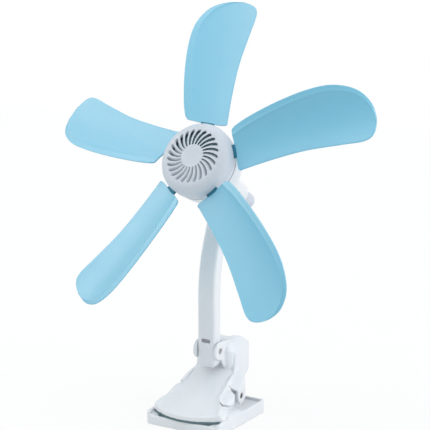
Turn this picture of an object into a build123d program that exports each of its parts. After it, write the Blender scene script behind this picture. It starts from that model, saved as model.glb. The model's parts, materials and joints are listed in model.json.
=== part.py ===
"""Clip fan: a sprung clip stands on a table or grips its edge and carries a tilting arm,
a tilting motor head and a five-blade rotor.

Millimetres, +Z up, the air leaves towards -Y. The origin is the centre of the clip's underside.
The head and the rotor are drawn in their own frame, with the motor axis along Y and the blade
plane at Y = 0, and are then pitched up about X and lifted onto the arm.
"""
import math
import os

from build123d import *

# ---------------------------------------------------------------- driving dimensions
RUN = 0.05                 # radial running clearance of a pin or shaft in its hole
SEAT = 0.3                 # clearance between neighbours of different bodies
SLIP = 0.15                # clearance of a piece dropped into its place in the same body

# lower jaw: tray, cheeks and pivot ears
TRAY_DEPTH = 101.0
TRAY_FRONT_WIDTH = 90.0
TRAY_REAR_WIDTH = 98.0
TRAY_HEIGHT = 15.0
TRAY_CORNER = 6.0
TRAY_WALL = 2.5
TRAY_EDGE = 0.9            # bevel of the tray's top edge
RIB_PLACES = (-30.0, -10.0, 10.0, 30.0)
RIB_HALF = 0.8
POST_RADIUS = 3.4          # screw posts under the tray's floor
RAIL = 3.6                 # width of the raised rail round the tray's top
FLOOR_TOP = 11.5           # upper side of the tray's floor
COVER_THICK = 2.0          # bottom cover
COVER_SCREW_X = 33.0
COVER_SCREW_Y = 38.0
PIVOT_Y = 19.5             # clip pin axis
PIVOT_Z = 26.0
PIN_RADIUS = 3.0
EAR_RADIUS = 7.4           # round top of the lower jaw's pivot ears
SIDE_EAR_RADIUS = 9.0      # round end of the upper jaw's pivot ears
PIN_RECESS = 1.2           # depth of the recess round each end of the pin
EAR_THICK = 3.3
EAR_GAP = 1.4              # between the two jaws' ears, before their seat
BRACE_RUN = 22.0           # how far the ear's brace runs forward of the pin
CHEEK_FRONT_Y = -26.5
CHEEK_REAR_Y = -3.0
CHEEK_TOP = 27.1           # at its front end
CHEEK_REAR_TOP = 21.4

# upper jaw: apron, hood, side walls
JAW_WALL = 2.6
SIDE_X = 38.0              # outer face of the jaw's side walls
LIP_Z = 12.3               # underside of the lip
PAD_PROUD = 0.2            # how far the upper pad stands out of the lip
PAD_LIP_GAP = 0.3          # between the two pads when the clip is shut
LIP_BOW = 8.0              # how far the lip bows forward at its middle
LIP_FRONT = -53.0
LIP_HALF = 40.6            # half width of the lip
NOTCH_FRONT = -2.2         # opening between side wall and pivot ear
NOTCH_PEAK = 4.4
NOTCH_TOP = 39.6
LEAN_TOP = 34.0            # the side walls are upright up to here beside the pivot
HOOD_HALF = 25.3
HOOD_TOP = 89.0
HOOD_SHOULDER = 77.0       # where its back begins to slope to the top
HOOD_FRONT = 8.5           # ends of the hood's plan
HOOD_REAR = 66.5
HOOD_PLAN_ROUND = 9.5      # rounding of its rear corners seen from above
HOOD_BROW_ROUND = 20.0     # rounding of its top corners seen from the front
PAD_THICK = 1.5
PAD_DEPTH = 8.0
PAD_HALF = 33.0
PAD_Y = -43.0              # middle of the grip pads

# clip spring
WIRE = 0.9                 # wire radius
COIL_GAP = 0.4             # between the pin and the coil
COIL_TURNS = 4
COIL_PITCH = 2.4

# arm and its two hinges
ARM_WIDTH = 22.6
ARM_DEPTH = 16.0
ARM_EDGE = 3.6             # rounding of the long edges
ARM_WALL = 2.2
ARM_Y = 10.8               # foot hinge axis
ARM_Z = 78.0
ARM_TAIL = 21.0            # arm below its foot hinge
ARM_TAIL_CORNER = 8.0
ARM_LOW = 61.0             # straight stretch above the foot hinge
ARM_BEND_RADIUS = 160.0
ARM_LEAN = 22.0            # degrees from the vertical at the top
ARM_HIGH = 47.0            # straight stretch below the head hinge
CABLE_SLOT_LENGTH = 12.0   # oval opening in the arm's front
CABLE_SLOT_HEIGHT = 4.8
CABLE_SLOT_RISE = 11.2     # its height above the foot hinge
FORK_THICK = 3.6           # thickness of a hinge ear
FORK_RADIUS = 11.6
FORK_GAP = 0.3             # between ear and arm, filled by a washer
HINGE_SCREW = 2.0          # shank radius
SCREW_HEAD = 3.4
SCREW_HEAD_HEIGHT = 1.7
RECESS_RADIUS = 3.8
RECESS_DEPTH = 2.2
NUT_FLATS = 7.0            # across flats
ARM_SCREWS = 3
SMALL_SCREW = 1.2          # radius of the small screws' thread
PILOT_HOLE = 1.0           # hole that a small screw cuts its thread in
SMALL_SHANK = 0.95         # core of a small screw
SMALL_HEAD = 2.4
SMALL_HEAD_HEIGHT = 1.2

# head: distances are along the motor axis behind the blade plane
HEAD_PITCH = 28.6          # degrees that the head looks up
HINGE_BACK = 74.0
HINGE_DROP = 22.0          # head hinge below the motor axis
BELL_FRONT = 9.4
BELL_STRAIGHT = 22.0
BELL_SHOULDER = 36.5       # where the bell's shoulder is half round
BELL_END = 46.0
BELL_WALL = 2.2
NECK_RADIUS = 18.2
NECK_END = 60.0
WAIST_BACK = 76.0
WAIST_RADIUS = 16.5
TAIL_BACK = 92.0
TAIL_RADIUS = 12.9
TAIL_END = 105.0
NACELLE_WALL = 2.0
SPIGOT_RADIUS = 14.0
SPIGOT_END = 56.0
COLLAR_BACK = 52.0
COLLAR_LENGTH = 2.5
KNOB_END = 131.0
KNOB_RADIUS = 10.2
KNOB_TIP_RADIUS = 9.6
KNOB_BEVEL = 1.2
KNOB_GRIPS = 18
SWITCH_RADIUS = 8.0
SWITCH_LENGTH = 12.0
SWITCH_SHAFT = 3.0

# rotor
RIM_BACK = 8.5             # rear edge of the turning shell
SHELL_WALL = 2.4
DOME_FRONT = -13.6         # plain centre disc
DISC_RADIUS = 12.0
VENT_INNER = 13.2
VENT_FRONT = -12.6         # shell face at the vent ring's outer edge
VENT_COUNT = 25
VENT_SWEEP = 13.0          # degrees that a slot's outer end lags
VENT_OUTER_WIDTH = 4.4
VENT_INNER_WIDTH = 1.7
SEAT_TUBE_WALL = 2.0
SHAFT_RADIUS = 3.0
BEARING_OUTER = 8.5
BEARING_LENGTH = 6.0
BEARING_FRONT = -4.5       # front face of the front bearing
BEARING_REAR = 20.0        # front face of the rear bearing
TUBE_OUTER = 11.0
STATOR_FRONT = 2.0
STATOR_LENGTH = 14.0
STATOR_RADIUS = 31.2
STATOR_TEETH = 9
AIR_GAP = 0.6
MAGNET_THICK = 2.2
RING_THICK = 1.8
RING_FRONT = -4.0
RING_LENGTH = 20.0
RING_SEAT = 0.2            # between the ring and the shell's seat tube
RIM_DEPTH = 4.0            # from the seat tube to the shell's outer face
SHOULDER_DEPTH = 12.0      # from the vent ring's outer edge to the shell's outer face
BELL_STEP = 1.7            # how far the fixed bell lies inside the shell's outer face
RING_OUTER = STATOR_RADIUS + AIR_GAP + MAGNET_THICK + RING_THICK
SEAT_TUBE_INNER = RING_OUTER + RING_SEAT
SEAT_TUBE_OUTER = SEAT_TUBE_INNER + SEAT_TUBE_WALL
HUB_RADIUS = SEAT_TUBE_OUTER + RIM_DEPTH
VENT_OUTER = HUB_RADIUS - SHOULDER_DEPTH
BELL_RADIUS = HUB_RADIUS - BELL_STEP
BRACKET_FRONT = 26.0
BRACKET_THICK = 2.5
BRACKET_RADIUS = 29.0
BOARD_FRONT = 21.8

# blades
BLADES = 5
BLADE_START = 18.1         # degrees of the first blade, counterclockwise from +X seen from the front
BLADE_TIP = 200.0
BLADE_GAP = 2.5            # between the shell and a blade's root edge
BLADE_ROOT = HUB_RADIUS + BLADE_GAP
BLADE_THICK = 2.0
BLADE_PITCH = 17.0         # degrees at the root
BLADE_TWIST = -8.9         # change of pitch from root to tip
BLADE_CAMBER = 3.8
BLADE_DROOP = 12.5         # how far the tip lies behind the root
BLADE_CORNER = 4.0         # rounding of the root corners
CAMBER_SPAN = 27.0         # chord at which the bow comes back to the pitch line
STEM_WIDTH = 15.0
STEM_THICK = 3.0
STEM_FOOT = 1.0            # between the seat tube's bore and the stem's tip
STEM_END = SEAT_TUBE_INNER + STEM_FOOT

# ---------------------------------------------------------------- derived places
ARM_HALF = ARM_WIDTH / 2
FORK_INNER = ARM_HALF + FORK_GAP
FORK_OUTER = FORK_INNER + FORK_THICK
LEAN = math.radians(ARM_LEAN)
ARM_ARC = ARM_BEND_RADIUS * LEAN
ARM_LENGTH = ARM_LOW + ARM_ARC + ARM_HIGH
PITCH = math.radians(HEAD_PITCH)


def arm_point(along, offset=0.0):
    """Point of the arm's middle plane (y, z): along its centre line, offset to the rear."""
    if along <= ARM_LOW:
        return ARM_Y + offset, ARM_Z + along
    if along <= ARM_LOW + ARM_ARC:
        turn = (along - ARM_LOW) / ARM_BEND_RADIUS
        radius = ARM_BEND_RADIUS - offset
        centre_y = ARM_Y + ARM_BEND_RADIUS
        return centre_y - radius * math.cos(turn), ARM_Z + ARM_LOW + radius * math.sin(turn)
    y, z = arm_point(ARM_LOW + ARM_ARC, offset)
    rest = along - ARM_LOW - ARM_ARC
    return y + rest * math.sin(LEAN), z + rest * math.cos(LEAN)


HEAD_HINGE_Y, HEAD_HINGE_Z = arm_point(ARM_LENGTH)
HUB_Y = HEAD_HINGE_Y - HINGE_BACK * math.cos(PITCH) + HINGE_DROP * math.sin(PITCH)
HUB_Z = HEAD_HINGE_Z + HINGE_BACK * math.sin(PITCH) + HINGE_DROP * math.cos(PITCH)
HEAD_PLACE = Location((0, HUB_Y, HUB_Z), (-HEAD_PITCH, 0, 0))

SIDE_VIEW = Plane(origin=(0, 0, 0), x_dir=(0, 1, 0), z_dir=(1, 0, 0))      # local x = Y, y = Z
FRONT_VIEW = Plane(origin=(0, 0, 0), x_dir=(1, 0, 0), z_dir=(0, -1, 0))    # local x = X, y = Z

os.makedirs("parts", exist_ok=True)
nodes = {}


# ---------------------------------------------------------------- helpers
def across(face_in_side_view, x0, x1):
    """Solid between two X planes whose outline is drawn in the Y-Z plane."""
    placed = SIDE_VIEW.offset(x0) * face_in_side_view
    return extrude(placed, x1 - x0)


def both_sides(face_in_side_view, x0, x1):
    """The same solid on +X and, mirrored, on -X."""
    right = across(face_in_side_view, x0, x1)
    return right + mirror(right, Plane.YZ)


def rod_x(radius, x0, x1, y, z):
    """Cylinder along X."""
    return across(Pos(y, z) * Circle(radius), x0, x1)


def rod_y(radius, y0, y1, x=0.0, z=0.0):
    """Cylinder along Y."""
    return Pos(x, (y0 + y1) / 2, z) * Rot(90, 0, 0) * Cylinder(radius, y1 - y0)


def ring_y(outer, inner, y0, y1):
    """Tube along Y."""
    return rod_y(outer, y0, y1) - rod_y(inner, y0 - 1, y1 + 1)


def block(x0, x1, y0, y1, z0, z1):
    """Box between its corners."""
    centre = Pos((x0 + x1) / 2, (y0 + y1) / 2, (z0 + z1) / 2)
    return centre * Box(x1 - x0, y1 - y0, z1 - z0)


def turned(points):
    """Solid of revolution about Y from a closed outline of (distance along Y, radius)."""
    outline = make_face(Polyline(*[(radius, along, 0) for along, radius in points], close=True))
    return revolve(outline, Axis.Y)


def arc_corners(start, middle, end, bands=5):
    """Corners of an arc through three (along, radius) points, drawn as straight bands."""
    arc = ThreePointArc(start, middle, end)
    corners = [arc @ (i / bands) for i in range(bands + 1)]
    return [(corner.X, corner.Y) for corner in corners]


def at_angle(shape, degrees):
    """Turn a piece of the rotor about the motor axis, counterclockwise seen from the front."""
    return Rot(0, -degrees, 0) * shape


def hexagon_x(flats, x0, x1, y, z):
    """Hexagonal bar along X."""
    return across(Pos(y, z) * RegularPolygon(flats / 2, 6, major_radius=False), x0, x1)


def save(name, shape):
    """Keep a node and write its file."""
    shape.label = name
    nodes[name] = shape
    export_step(shape, f"parts/{name}.step")


# ---------------------------------------------------------------- lower jaw
def tray_plan(inset):
    """Tapered plan of the tray, drawn in by an inset."""
    half_depth = TRAY_DEPTH / 2
    slope = (TRAY_REAR_WIDTH - TRAY_FRONT_WIDTH) / 2 / TRAY_DEPTH
    front = TRAY_FRONT_WIDTH / 2 - inset + slope * inset
    rear = TRAY_REAR_WIDTH / 2 - inset - slope * inset
    y0 = -half_depth + inset
    y1 = half_depth - inset
    face = make_face(Polyline((-front, y0), (front, y0), (rear, y1), (-rear, y1), close=True))
    return fillet(face.vertices(), TRAY_CORNER - 0.5 * inset)


def ear_outline(grow=0.0):
    """Pivot ear of the lower jaw in side view: a post with a round top."""
    radius = EAR_RADIUS + grow
    post = Pos(PIVOT_Y, (PIVOT_Z + FLOOR_TOP) / 2) * Rectangle(2 * radius, PIVOT_Z - FLOOR_TOP)
    return post + Pos(PIVOT_Y, PIVOT_Z) * Circle(radius)


LOWER_PAD_Z = LIP_Z - PAD_PROUD - PAD_LIP_GAP - PAD_THICK
EAR_OUTER = SIDE_X - JAW_WALL - EAR_GAP      # outer face of the lower jaw's pivot ears
EAR_INNER = EAR_OUTER - EAR_THICK


def make_lower_jaw():
    """Tray with rails, cheeks and pivot ears."""
    tray = extrude(tray_plan(0), TRAY_HEIGHT)
    tray = chamfer(tray.edges().group_by(Axis.Z)[-1], TRAY_EDGE)
    top_pocket = Pos(0, 0, FLOOR_TOP) * extrude(tray_plan(RAIL), TRAY_HEIGHT)
    mouth_half = TRAY_FRONT_WIDTH / 2 - RAIL + 0.2
    mouth = block(-mouth_half, mouth_half, -TRAY_DEPTH, -TRAY_DEPTH / 2 + 2 * RAIL, FLOOR_TOP, TRAY_HEIGHT + 1)
    underside = extrude(tray_plan(TRAY_WALL), FLOOR_TOP - TRAY_WALL)
    tray -= top_pocket + mouth + underside
    for x in (-COVER_SCREW_X, COVER_SCREW_X):
        for y in (-COVER_SCREW_Y, COVER_SCREW_Y):
            post = Pos(x, y) * extrude(Circle(POST_RADIUS), FLOOR_TOP - TRAY_WALL / 2)
            tray += post - Pos(x, y) * extrude(Circle(POST_RADIUS + 1), COVER_THICK)
            tray -= Pos(x, y) * extrude(Circle(PILOT_HOLE), FLOOR_TOP - TRAY_WALL)
    rib_end = TRAY_DEPTH / 2 - TRAY_WALL
    for x in RIB_PLACES:
        tray += block(x - RIB_HALF, x + RIB_HALF, -rib_end, rib_end, COVER_THICK + SLIP, FLOOR_TOP - 1)
    cheek = Polyline((CHEEK_FRONT_Y, FLOOR_TOP - 1), (CHEEK_REAR_Y, FLOOR_TOP - 1), (CHEEK_REAR_Y, CHEEK_REAR_TOP),
                     (CHEEK_FRONT_Y, CHEEK_TOP), close=True)
    tray += both_sides(make_face(cheek), SIDE_X - JAW_WALL, SIDE_X)
    tray += both_sides(ear_outline(), EAR_INNER, EAR_OUTER)
    brace = Polyline((PIVOT_Y - EAR_RADIUS, FLOOR_TOP - 1), (PIVOT_Y - EAR_RADIUS, PIVOT_Z - 6),
                     (PIVOT_Y - BRACE_RUN, FLOOR_TOP - 1), close=True)
    tray += both_sides(make_face(brace), EAR_INNER, EAR_INNER + 2)
    bore = rod_x(PIN_RADIUS + RUN, -TRAY_REAR_WIDTH, TRAY_REAR_WIDTH, PIVOT_Y, PIVOT_Z)
    return tray - bore - pad_block(LOWER_PAD_Z, SLIP)


def make_lower_cover():
    """Flat plate that closes the tray's underside, with four screw holes."""
    plate = extrude(tray_plan(TRAY_WALL + SLIP), COVER_THICK)
    for x in (-COVER_SCREW_X, COVER_SCREW_X):
        for y in (-COVER_SCREW_Y, COVER_SCREW_Y):
            plate -= Pos(x, y) * extrude(Circle(SMALL_SCREW + SLIP), COVER_THICK)
            plate -= Pos(x, y) * extrude(Circle(SMALL_HEAD + SLIP), SMALL_HEAD_HEIGHT + 0.1)
    return plate


def make_cover_screws():
    """Four screws, heads flush in the cover."""
    screws = []
    for x in (-COVER_SCREW_X, COVER_SCREW_X):
        for y in (-COVER_SCREW_Y, COVER_SCREW_Y):
            head = extrude(Circle(SMALL_HEAD), SMALL_HEAD_HEIGHT)
            shank = extrude(Circle(SMALL_SHANK), FLOOR_TOP - TRAY_WALL - 1)
            screws.append(Pos(x, y, 0.1) * (head + shank))
    return Compound(screws)


# ---------------------------------------------------------------- upper jaw
# apron stations from the lip to the hood: y, half width of the side walls, height where they
# lean in, half width of the ridge, height of the ridge, height of the crown
APRON = (
    (LIP_FRONT, LIP_HALF, 13.6, 39.5, 15.5, 18.0),
    (-34.0, 40.5, 19.0, 35.0, 24.0, 28.5),
    (-15.0, SIDE_X, 28.0, 29.5, 31.0, 36.0),
    (5.0, SIDE_X, 34.0, 27.5, 39.5, 46.0),
    (20.5, SIDE_X, 39.5, 26.5, 47.0, 55.0),
    (34.0, 34.0, 45.0, 25.5, 55.0, 64.0),
)


def apron_section(y, side, lean_z, ridge, ridge_z, crown_z, inset):
    """Upright cross-section of the apron: side walls, leaning flanks, ridges and arched crown."""
    side -= inset
    lean_z -= 0.7 * inset
    ridge -= 0.7 * inset
    ridge_z -= inset
    crown_z -= inset
    shoulder_x = ridge - 0.16 * ridge
    shoulder_z = ridge_z + 0.34 * (crown_z - ridge_z)
    flank_x = ridge + 0.2 * (side - ridge)
    flank_z = ridge_z - 0.2 * (ridge_z - lean_z)
    edges = [
        Line((-side, 0), (side, 0)),
        Line((side, 0), (side, lean_z)),
        Line((side, lean_z), (flank_x, flank_z)),
        ThreePointArc((flank_x, flank_z), (ridge - 0.02 * ridge, ridge_z + 0.08 * (crown_z - ridge_z)),
                      (shoulder_x, shoulder_z)),
        ThreePointArc((shoulder_x, shoulder_z), (0, crown_z), (-shoulder_x, shoulder_z)),
        ThreePointArc((-shoulder_x, shoulder_z), (0.02 * ridge - ridge, ridge_z + 0.08 * (crown_z - ridge_z)),
                      (-flank_x, flank_z)),
        Line((-flank_x, flank_z), (-side, lean_z)),
        Line((-side, lean_z), (-side, 0)),
    ]
    plane = Plane(origin=(0, y, 0), x_dir=(1, 0, 0), z_dir=(0, -1, 0))
    return plane * make_face(edges)


def apron_body(inset):
    """Lofted apron, from the lip to under the hood."""
    sections = []
    for station in APRON:
        sections.append(apron_section(*station, inset))
    return loft(sections)


# corners of the hood in side view (y, z) and their rounding, from the front foot over the top
# to the rear wall and the rear foot
HOOD_CORNERS = ((16, 20, 0), (26, 60, 6), (30, HOOD_TOP, 12), (50, HOOD_TOP, 9), (HOOD_REAR, HOOD_SHOULDER, 12),
                (HOOD_REAR, 49, 8), (30, 29, 0))


def hood_body(inset):
    """Hood: its side view, plan and front view, each with round corners, intersected."""
    corners = [(y, z) for y, z, _ in HOOD_CORNERS]
    side = make_face(Polyline(*corners, close=True))
    for y, z, rounding in HOOD_CORNERS:
        if rounding:
            corner = side.vertices().sort_by_distance((y, z, 0))[0]
            side = fillet(corner, rounding)
    side = offset(side, -inset, kind=Kind.INTERSECTION) if inset else side
    half = HOOD_HALF - inset
    body = across(side, -half, half)
    plan = Pos(0, (HOOD_FRONT + HOOD_REAR) / 2) * Rectangle(2 * half, HOOD_REAR - HOOD_FRONT - 2 * inset)
    plan = fillet(plan.vertices().group_by(Axis.Y)[-1], HOOD_PLAN_ROUND - inset)
    front = Pos(0, HOOD_TOP / 2) * Rectangle(2 * half, HOOD_TOP - 2 * inset)
    front = fillet(front.vertices().group_by(Axis.Y)[-1], HOOD_BROW_ROUND - inset)
    body &= extrude(plan, 120)
    return body & extrude(FRONT_VIEW.offset(10) * front, -120)


def fork_outline():
    """Round ear of the foot hinge, running back into the hood."""
    lobe = Pos(ARM_Y, ARM_Z) * Circle(FORK_RADIUS)
    back = Polyline((ARM_Y, ARM_Z + FORK_RADIUS), (ARM_Y + 26, ARM_Z + FORK_RADIUS - 3), (ARM_Y + 26, ARM_Z - 26),
                    (ARM_Y + 9, ARM_Z - FORK_RADIUS - 10), (ARM_Y + 2, ARM_Z - FORK_RADIUS + 0.2), close=True)
    return lobe + make_face(back)


def jaw_pivot_outline():
    """Ear of the upper jaw round the clip pin, in side view."""
    lobe = Pos(PIVOT_Y, PIVOT_Z) * Circle(SIDE_EAR_RADIUS)
    front = PIVOT_Y - SIDE_EAR_RADIUS
    rear = PIVOT_Y + SIDE_EAR_RADIUS
    rise = Polyline((front, PIVOT_Z), (rear, PIVOT_Z), (rear, LEAN_TOP), (front, LEAN_TOP), close=True)
    return lobe + make_face(rise)


def jaw_underside():
    """Region below the upper jaw's edges in side view, with the notch beside the pivot ear."""
    rear = PIVOT_Y + SIDE_EAR_RADIUS
    notch_rear = PIVOT_Y - SIDE_EAR_RADIUS + 1
    points = [(-80, -1), (90, -1), (90, PIVOT_Z - 2), (rear, PIVOT_Z - 2), (rear, PIVOT_Z), (notch_rear, PIVOT_Z),
              (notch_rear, LEAN_TOP - 2.5), (NOTCH_PEAK, NOTCH_TOP), (NOTCH_FRONT, CHEEK_REAR_TOP + SEAT),
              (CHEEK_FRONT_Y - SEAT, CHEEK_TOP + SEAT), (CHEEK_FRONT_Y - SEAT, LIP_Z), (-80, LIP_Z)]
    return make_face(Polyline(*points, close=True))


def make_upper_jaw():
    """Open-bottomed shell: apron with bowed lip, hood, hinge ears and pivot ears."""
    outer = apron_body(0) + hood_body(0)
    mouth_end = PAD_Y + PAD_DEPTH / 2 + 1
    inner = apron_body(JAW_WALL) & block(-60, 60, mouth_end, 60, -1, 100)
    inner += hood_body(JAW_WALL)
    inner += block(-HOOD_HALF + JAW_WALL, HOOD_HALF - JAW_WALL, 20, 30, 0, 40)
    shell = outer - inner
    lip_radius = (LIP_HALF ** 2 + LIP_BOW ** 2) / (2 * LIP_BOW)
    shell &= Pos(0, LIP_FRONT + lip_radius, 0) * extrude(Circle(lip_radius), 120)
    shell -= across(jaw_underside(), -60, 60)
    shell += both_sides(jaw_pivot_outline(), EAR_OUTER + SEAT, SIDE_X)
    shell += both_sides(fork_outline(), FORK_INNER, FORK_OUTER)
    shell -= rod_x(ARM_TAIL + 3, -FORK_INNER, FORK_INNER, ARM_Y, ARM_Z)
    shell -= rod_x(PIN_RADIUS + RUN, -SIDE_X - 1, SIDE_X + 1, PIVOT_Y, PIVOT_Z)
    pin_recess = Pos(PIVOT_Y, PIVOT_Z) * Circle(PIN_RADIUS + 0.8)
    shell -= both_sides(pin_recess, SIDE_X - PIN_RECESS, SIDE_X + 1)
    shell -= rod_x(HINGE_SCREW + RUN, -FORK_OUTER - 1, FORK_OUTER + 1, ARM_Y, ARM_Z)
    shell -= rod_x(RECESS_RADIUS, FORK_OUTER - RECESS_DEPTH, FORK_OUTER + 1, ARM_Y, ARM_Z)
    shell -= hexagon_x(NUT_FLATS + 2 * SLIP, -FORK_OUTER - 1, -FORK_OUTER + RECESS_DEPTH, ARM_Y, ARM_Z)
    return shell - pad_block(LIP_Z - PAD_PROUD, SLIP)


def make_clip_pin():
    """Pin through both jaws."""
    end = SIDE_X - PIN_RECESS + 0.2
    return rod_x(PIN_RADIUS, -end, end, PIVOT_Y, PIVOT_Z)


def pad_block(z0, slip=0.0):
    """Strip of the grip pads' plan, with round corners."""
    half = PAD_DEPTH / 2 + slip
    pad = block(-PAD_HALF - slip, PAD_HALF + slip, PAD_Y - half, PAD_Y + half, z0, z0 + PAD_THICK)
    return fillet(pad.edges().filter_by(Axis.Z), 2)


# ---------------------------------------------------------------- arm
def arm_outline(front, rear, start, end):
    """Side view of the arm between two offsets from its centre line and two stations."""
    bend0 = ARM_LOW
    bend1 = ARM_LOW + ARM_ARC
    middle = (bend0 + bend1) / 2
    edges = [
        Line(arm_point(start, front), arm_point(bend0, front)),
        ThreePointArc(arm_point(bend0, front), arm_point(middle, front), arm_point(bend1, front)),
        Line(arm_point(bend1, front), arm_point(end, front)),
        Line(arm_point(end, front), arm_point(end, rear)),
        Line(arm_point(end, rear), arm_point(bend1, rear)),
        ThreePointArc(arm_point(bend1, rear), arm_point(middle, rear), arm_point(bend0, rear)),
        Line(arm_point(bend0, rear), arm_point(start, rear)),
        Line(arm_point(start, rear), arm_point(start, front)),
    ]
    return make_face(edges)


CHANNEL_START = 7.5
CHANNEL_END = ARM_LENGTH - 12.0
COVER_OFFSET = ARM_DEPTH / 2 - 2.2
ARM_SCREW_STATIONS = [CHANNEL_START + 16, (CHANNEL_START + CHANNEL_END) / 2, CHANNEL_END - 8]


def arm_bar():
    """The arm's outer form with rounded long edges and round hinge ends."""
    half_depth = ARM_DEPTH / 2
    bar = across(arm_outline(-half_depth, half_depth, -ARM_TAIL + half_depth, ARM_LENGTH), -ARM_HALF, ARM_HALF)
    foot_y, foot_z = arm_point(-ARM_TAIL + half_depth)
    bar += rod_x(half_depth, -ARM_HALF, ARM_HALF, foot_y, foot_z)
    bar += rod_x(half_depth, -ARM_HALF, ARM_HALF, HEAD_HINGE_Y, HEAD_HINGE_Z)
    long_edges = bar.edges().filter_by(lambda e: abs(abs(e.center().X) - ARM_HALF) < 0.01)
    bar = fillet(long_edges, ARM_EDGE)
    front = Pos(0, ARM_Z - ARM_TAIL + 200) * Rectangle(ARM_WIDTH, 400)
    front = fillet(front.vertices(), ARM_TAIL_CORNER)
    return bar & extrude(FRONT_VIEW.offset(100) * front, -300)


def arm_screw(along, radius, from_offset, to_offset):
    """Cylinder square to the arm's centre line at a station."""
    y0, z0 = arm_point(along, from_offset)
    y1, z1 = arm_point(along, to_offset)
    direction = Vector(0, y1 - y0, z1 - z0)
    plane = Plane(origin=(0, y0, z0), x_dir=(1, 0, 0), z_dir=direction)
    return extrude(plane * Circle(radius), direction.length)


def make_arm_body():
    """Channel open at the back, with solid knuckles, screw posts and the oval opening."""
    half_depth = ARM_DEPTH / 2
    body = arm_bar()
    channel = across(arm_outline(-half_depth + ARM_WALL, half_depth + 1, CHANNEL_START, CHANNEL_END),
                     -ARM_HALF + ARM_WALL, ARM_HALF - ARM_WALL)
    body -= channel
    ledge = 1.2
    for along in ARM_SCREW_STATIONS:
        body += arm_screw(along, 3.0, -half_depth + ARM_WALL / 2, COVER_OFFSET)
    for side in (-1, 1):
        x0 = side * (ARM_HALF - ARM_WALL - ledge)
        x1 = side * (ARM_HALF - ARM_WALL + 0.2)
        strip = arm_outline(COVER_OFFSET - ledge, COVER_OFFSET, CHANNEL_START, CHANNEL_END)
        body += across(strip, min(x0, x1), max(x0, x1))
    for along in ARM_SCREW_STATIONS:
        body -= arm_screw(along, PILOT_HOLE, COVER_OFFSET - 9, COVER_OFFSET + 1)
    slot = Pos(0, ARM_Z + CABLE_SLOT_RISE) * SlotOverall(CABLE_SLOT_LENGTH, CABLE_SLOT_HEIGHT)
    body -= extrude(FRONT_VIEW.offset(-ARM_Y + half_depth + 2) * slot, -ARM_WALL - 3)
    body -= rod_x(HINGE_SCREW + RUN, -ARM_HALF - 1, ARM_HALF + 1, ARM_Y, ARM_Z)
    body -= rod_x(HINGE_SCREW + RUN, -ARM_HALF - 1, ARM_HALF + 1, HEAD_HINGE_Y, HEAD_HINGE_Z)
    return body


def make_arm_cover():
    """Strip that closes the channel, with sunk screw holes."""
    half = ARM_HALF - ARM_WALL - SLIP
    outline = arm_outline(COVER_OFFSET + 0.05, ARM_DEPTH / 2 - 0.2, CHANNEL_START + SLIP, CHANNEL_END - SLIP)
    cover = across(outline, -half, half)
    for along in ARM_SCREW_STATIONS:
        cover -= arm_screw(along, SMALL_SCREW + SLIP, COVER_OFFSET - 1, COVER_OFFSET + 4)
        cover -= arm_screw(along, SMALL_HEAD + SLIP, COVER_OFFSET + 0.7, COVER_OFFSET + 4)
    return cover


def make_arm_screws():
    """Screws of the arm cover."""
    screws = []
    for along in ARM_SCREW_STATIONS:
        head = arm_screw(along, SMALL_HEAD, COVER_OFFSET + 0.75, COVER_OFFSET + 0.75 + SMALL_HEAD_HEIGHT)
        shank = arm_screw(along, SMALL_SHANK, COVER_OFFSET - 7, COVER_OFFSET + 1)
        screws.append(head + shank)
    return Compound(screws)


def hinge_screw(y, z):
    """Hinge screw along X: head in the right ear's recess, end in the left ear's nut."""
    head = rod_x(SCREW_HEAD, FORK_OUTER - RECESS_DEPTH + 0.05, FORK_OUTER - RECESS_DEPTH + SCREW_HEAD_HEIGHT, y, z)
    shank = rod_x(HINGE_SCREW, -FORK_OUTER + 0.3, FORK_OUTER - RECESS_DEPTH + 0.1, y, z)
    cross = block(FORK_OUTER - 1.4, FORK_OUTER, y - 0.5, y + 0.5, z - 2, z + 2)
    cross += block(FORK_OUTER - 1.4, FORK_OUTER, y - 2, y + 2, z - 0.5, z + 0.5)
    return head + shank - cross


def hinge_nut(y, z):
    """Hexagonal nut in the left ear."""
    outer = FORK_OUTER - 0.3
    inner = FORK_OUTER - RECESS_DEPTH + 0.05
    return hexagon_x(NUT_FLATS, -outer, -inner, y, z) - rod_x(HINGE_SCREW + RUN, -outer - 1, -inner + 1, y, z)


def hinge_washers(y, z):
    """Friction washers between the ears and the arm."""
    washers = []
    for side in (-1, 1):
        x0 = side * (ARM_HALF + 0.03)
        x1 = side * (FORK_INNER - 0.03)
        disc = rod_x(6.5, min(x0, x1), max(x0, x1), y, z)
        washers.append(disc - rod_x(HINGE_SCREW + RUN, -20, 20, y, z))
    return Compound(washers)


# ---------------------------------------------------------------- head
def nacelle_profile(inset):
    """Closed outline of the nacelle as (along, radius) pairs: neck, waist and tail."""
    front = BELL_END + SLIP
    end = TAIL_END - inset
    return [(front, 0), (front, NECK_RADIUS - inset), (NECK_END, NECK_RADIUS - 0.2 - inset),
            (WAIST_BACK, WAIST_RADIUS - inset), (TAIL_BACK, TAIL_RADIUS + 0.3 - inset),
            (end, TAIL_RADIUS - 0.2 - inset), (end, 0)]


def head_ear_outline():
    """Ear of the head hinge in side view, rising into the nacelle's wall."""
    lobe = Pos(HINGE_BACK, -HINGE_DROP) * Circle(FORK_RADIUS - 0.6)
    half = FORK_RADIUS - 0.6
    web = Polyline((HINGE_BACK - half, -HINGE_DROP), (HINGE_BACK + half, -HINGE_DROP),
                   (HINGE_BACK + half + 3, 0), (HINGE_BACK - half - 6, 0), close=True)
    return lobe + make_face(web)


NACELLE_SCREWS = ((62.0, 9.5), (81.0, -8.0))     # along the axis, above it
SWITCH_END = TAIL_END - NACELLE_WALL - 0.2


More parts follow.
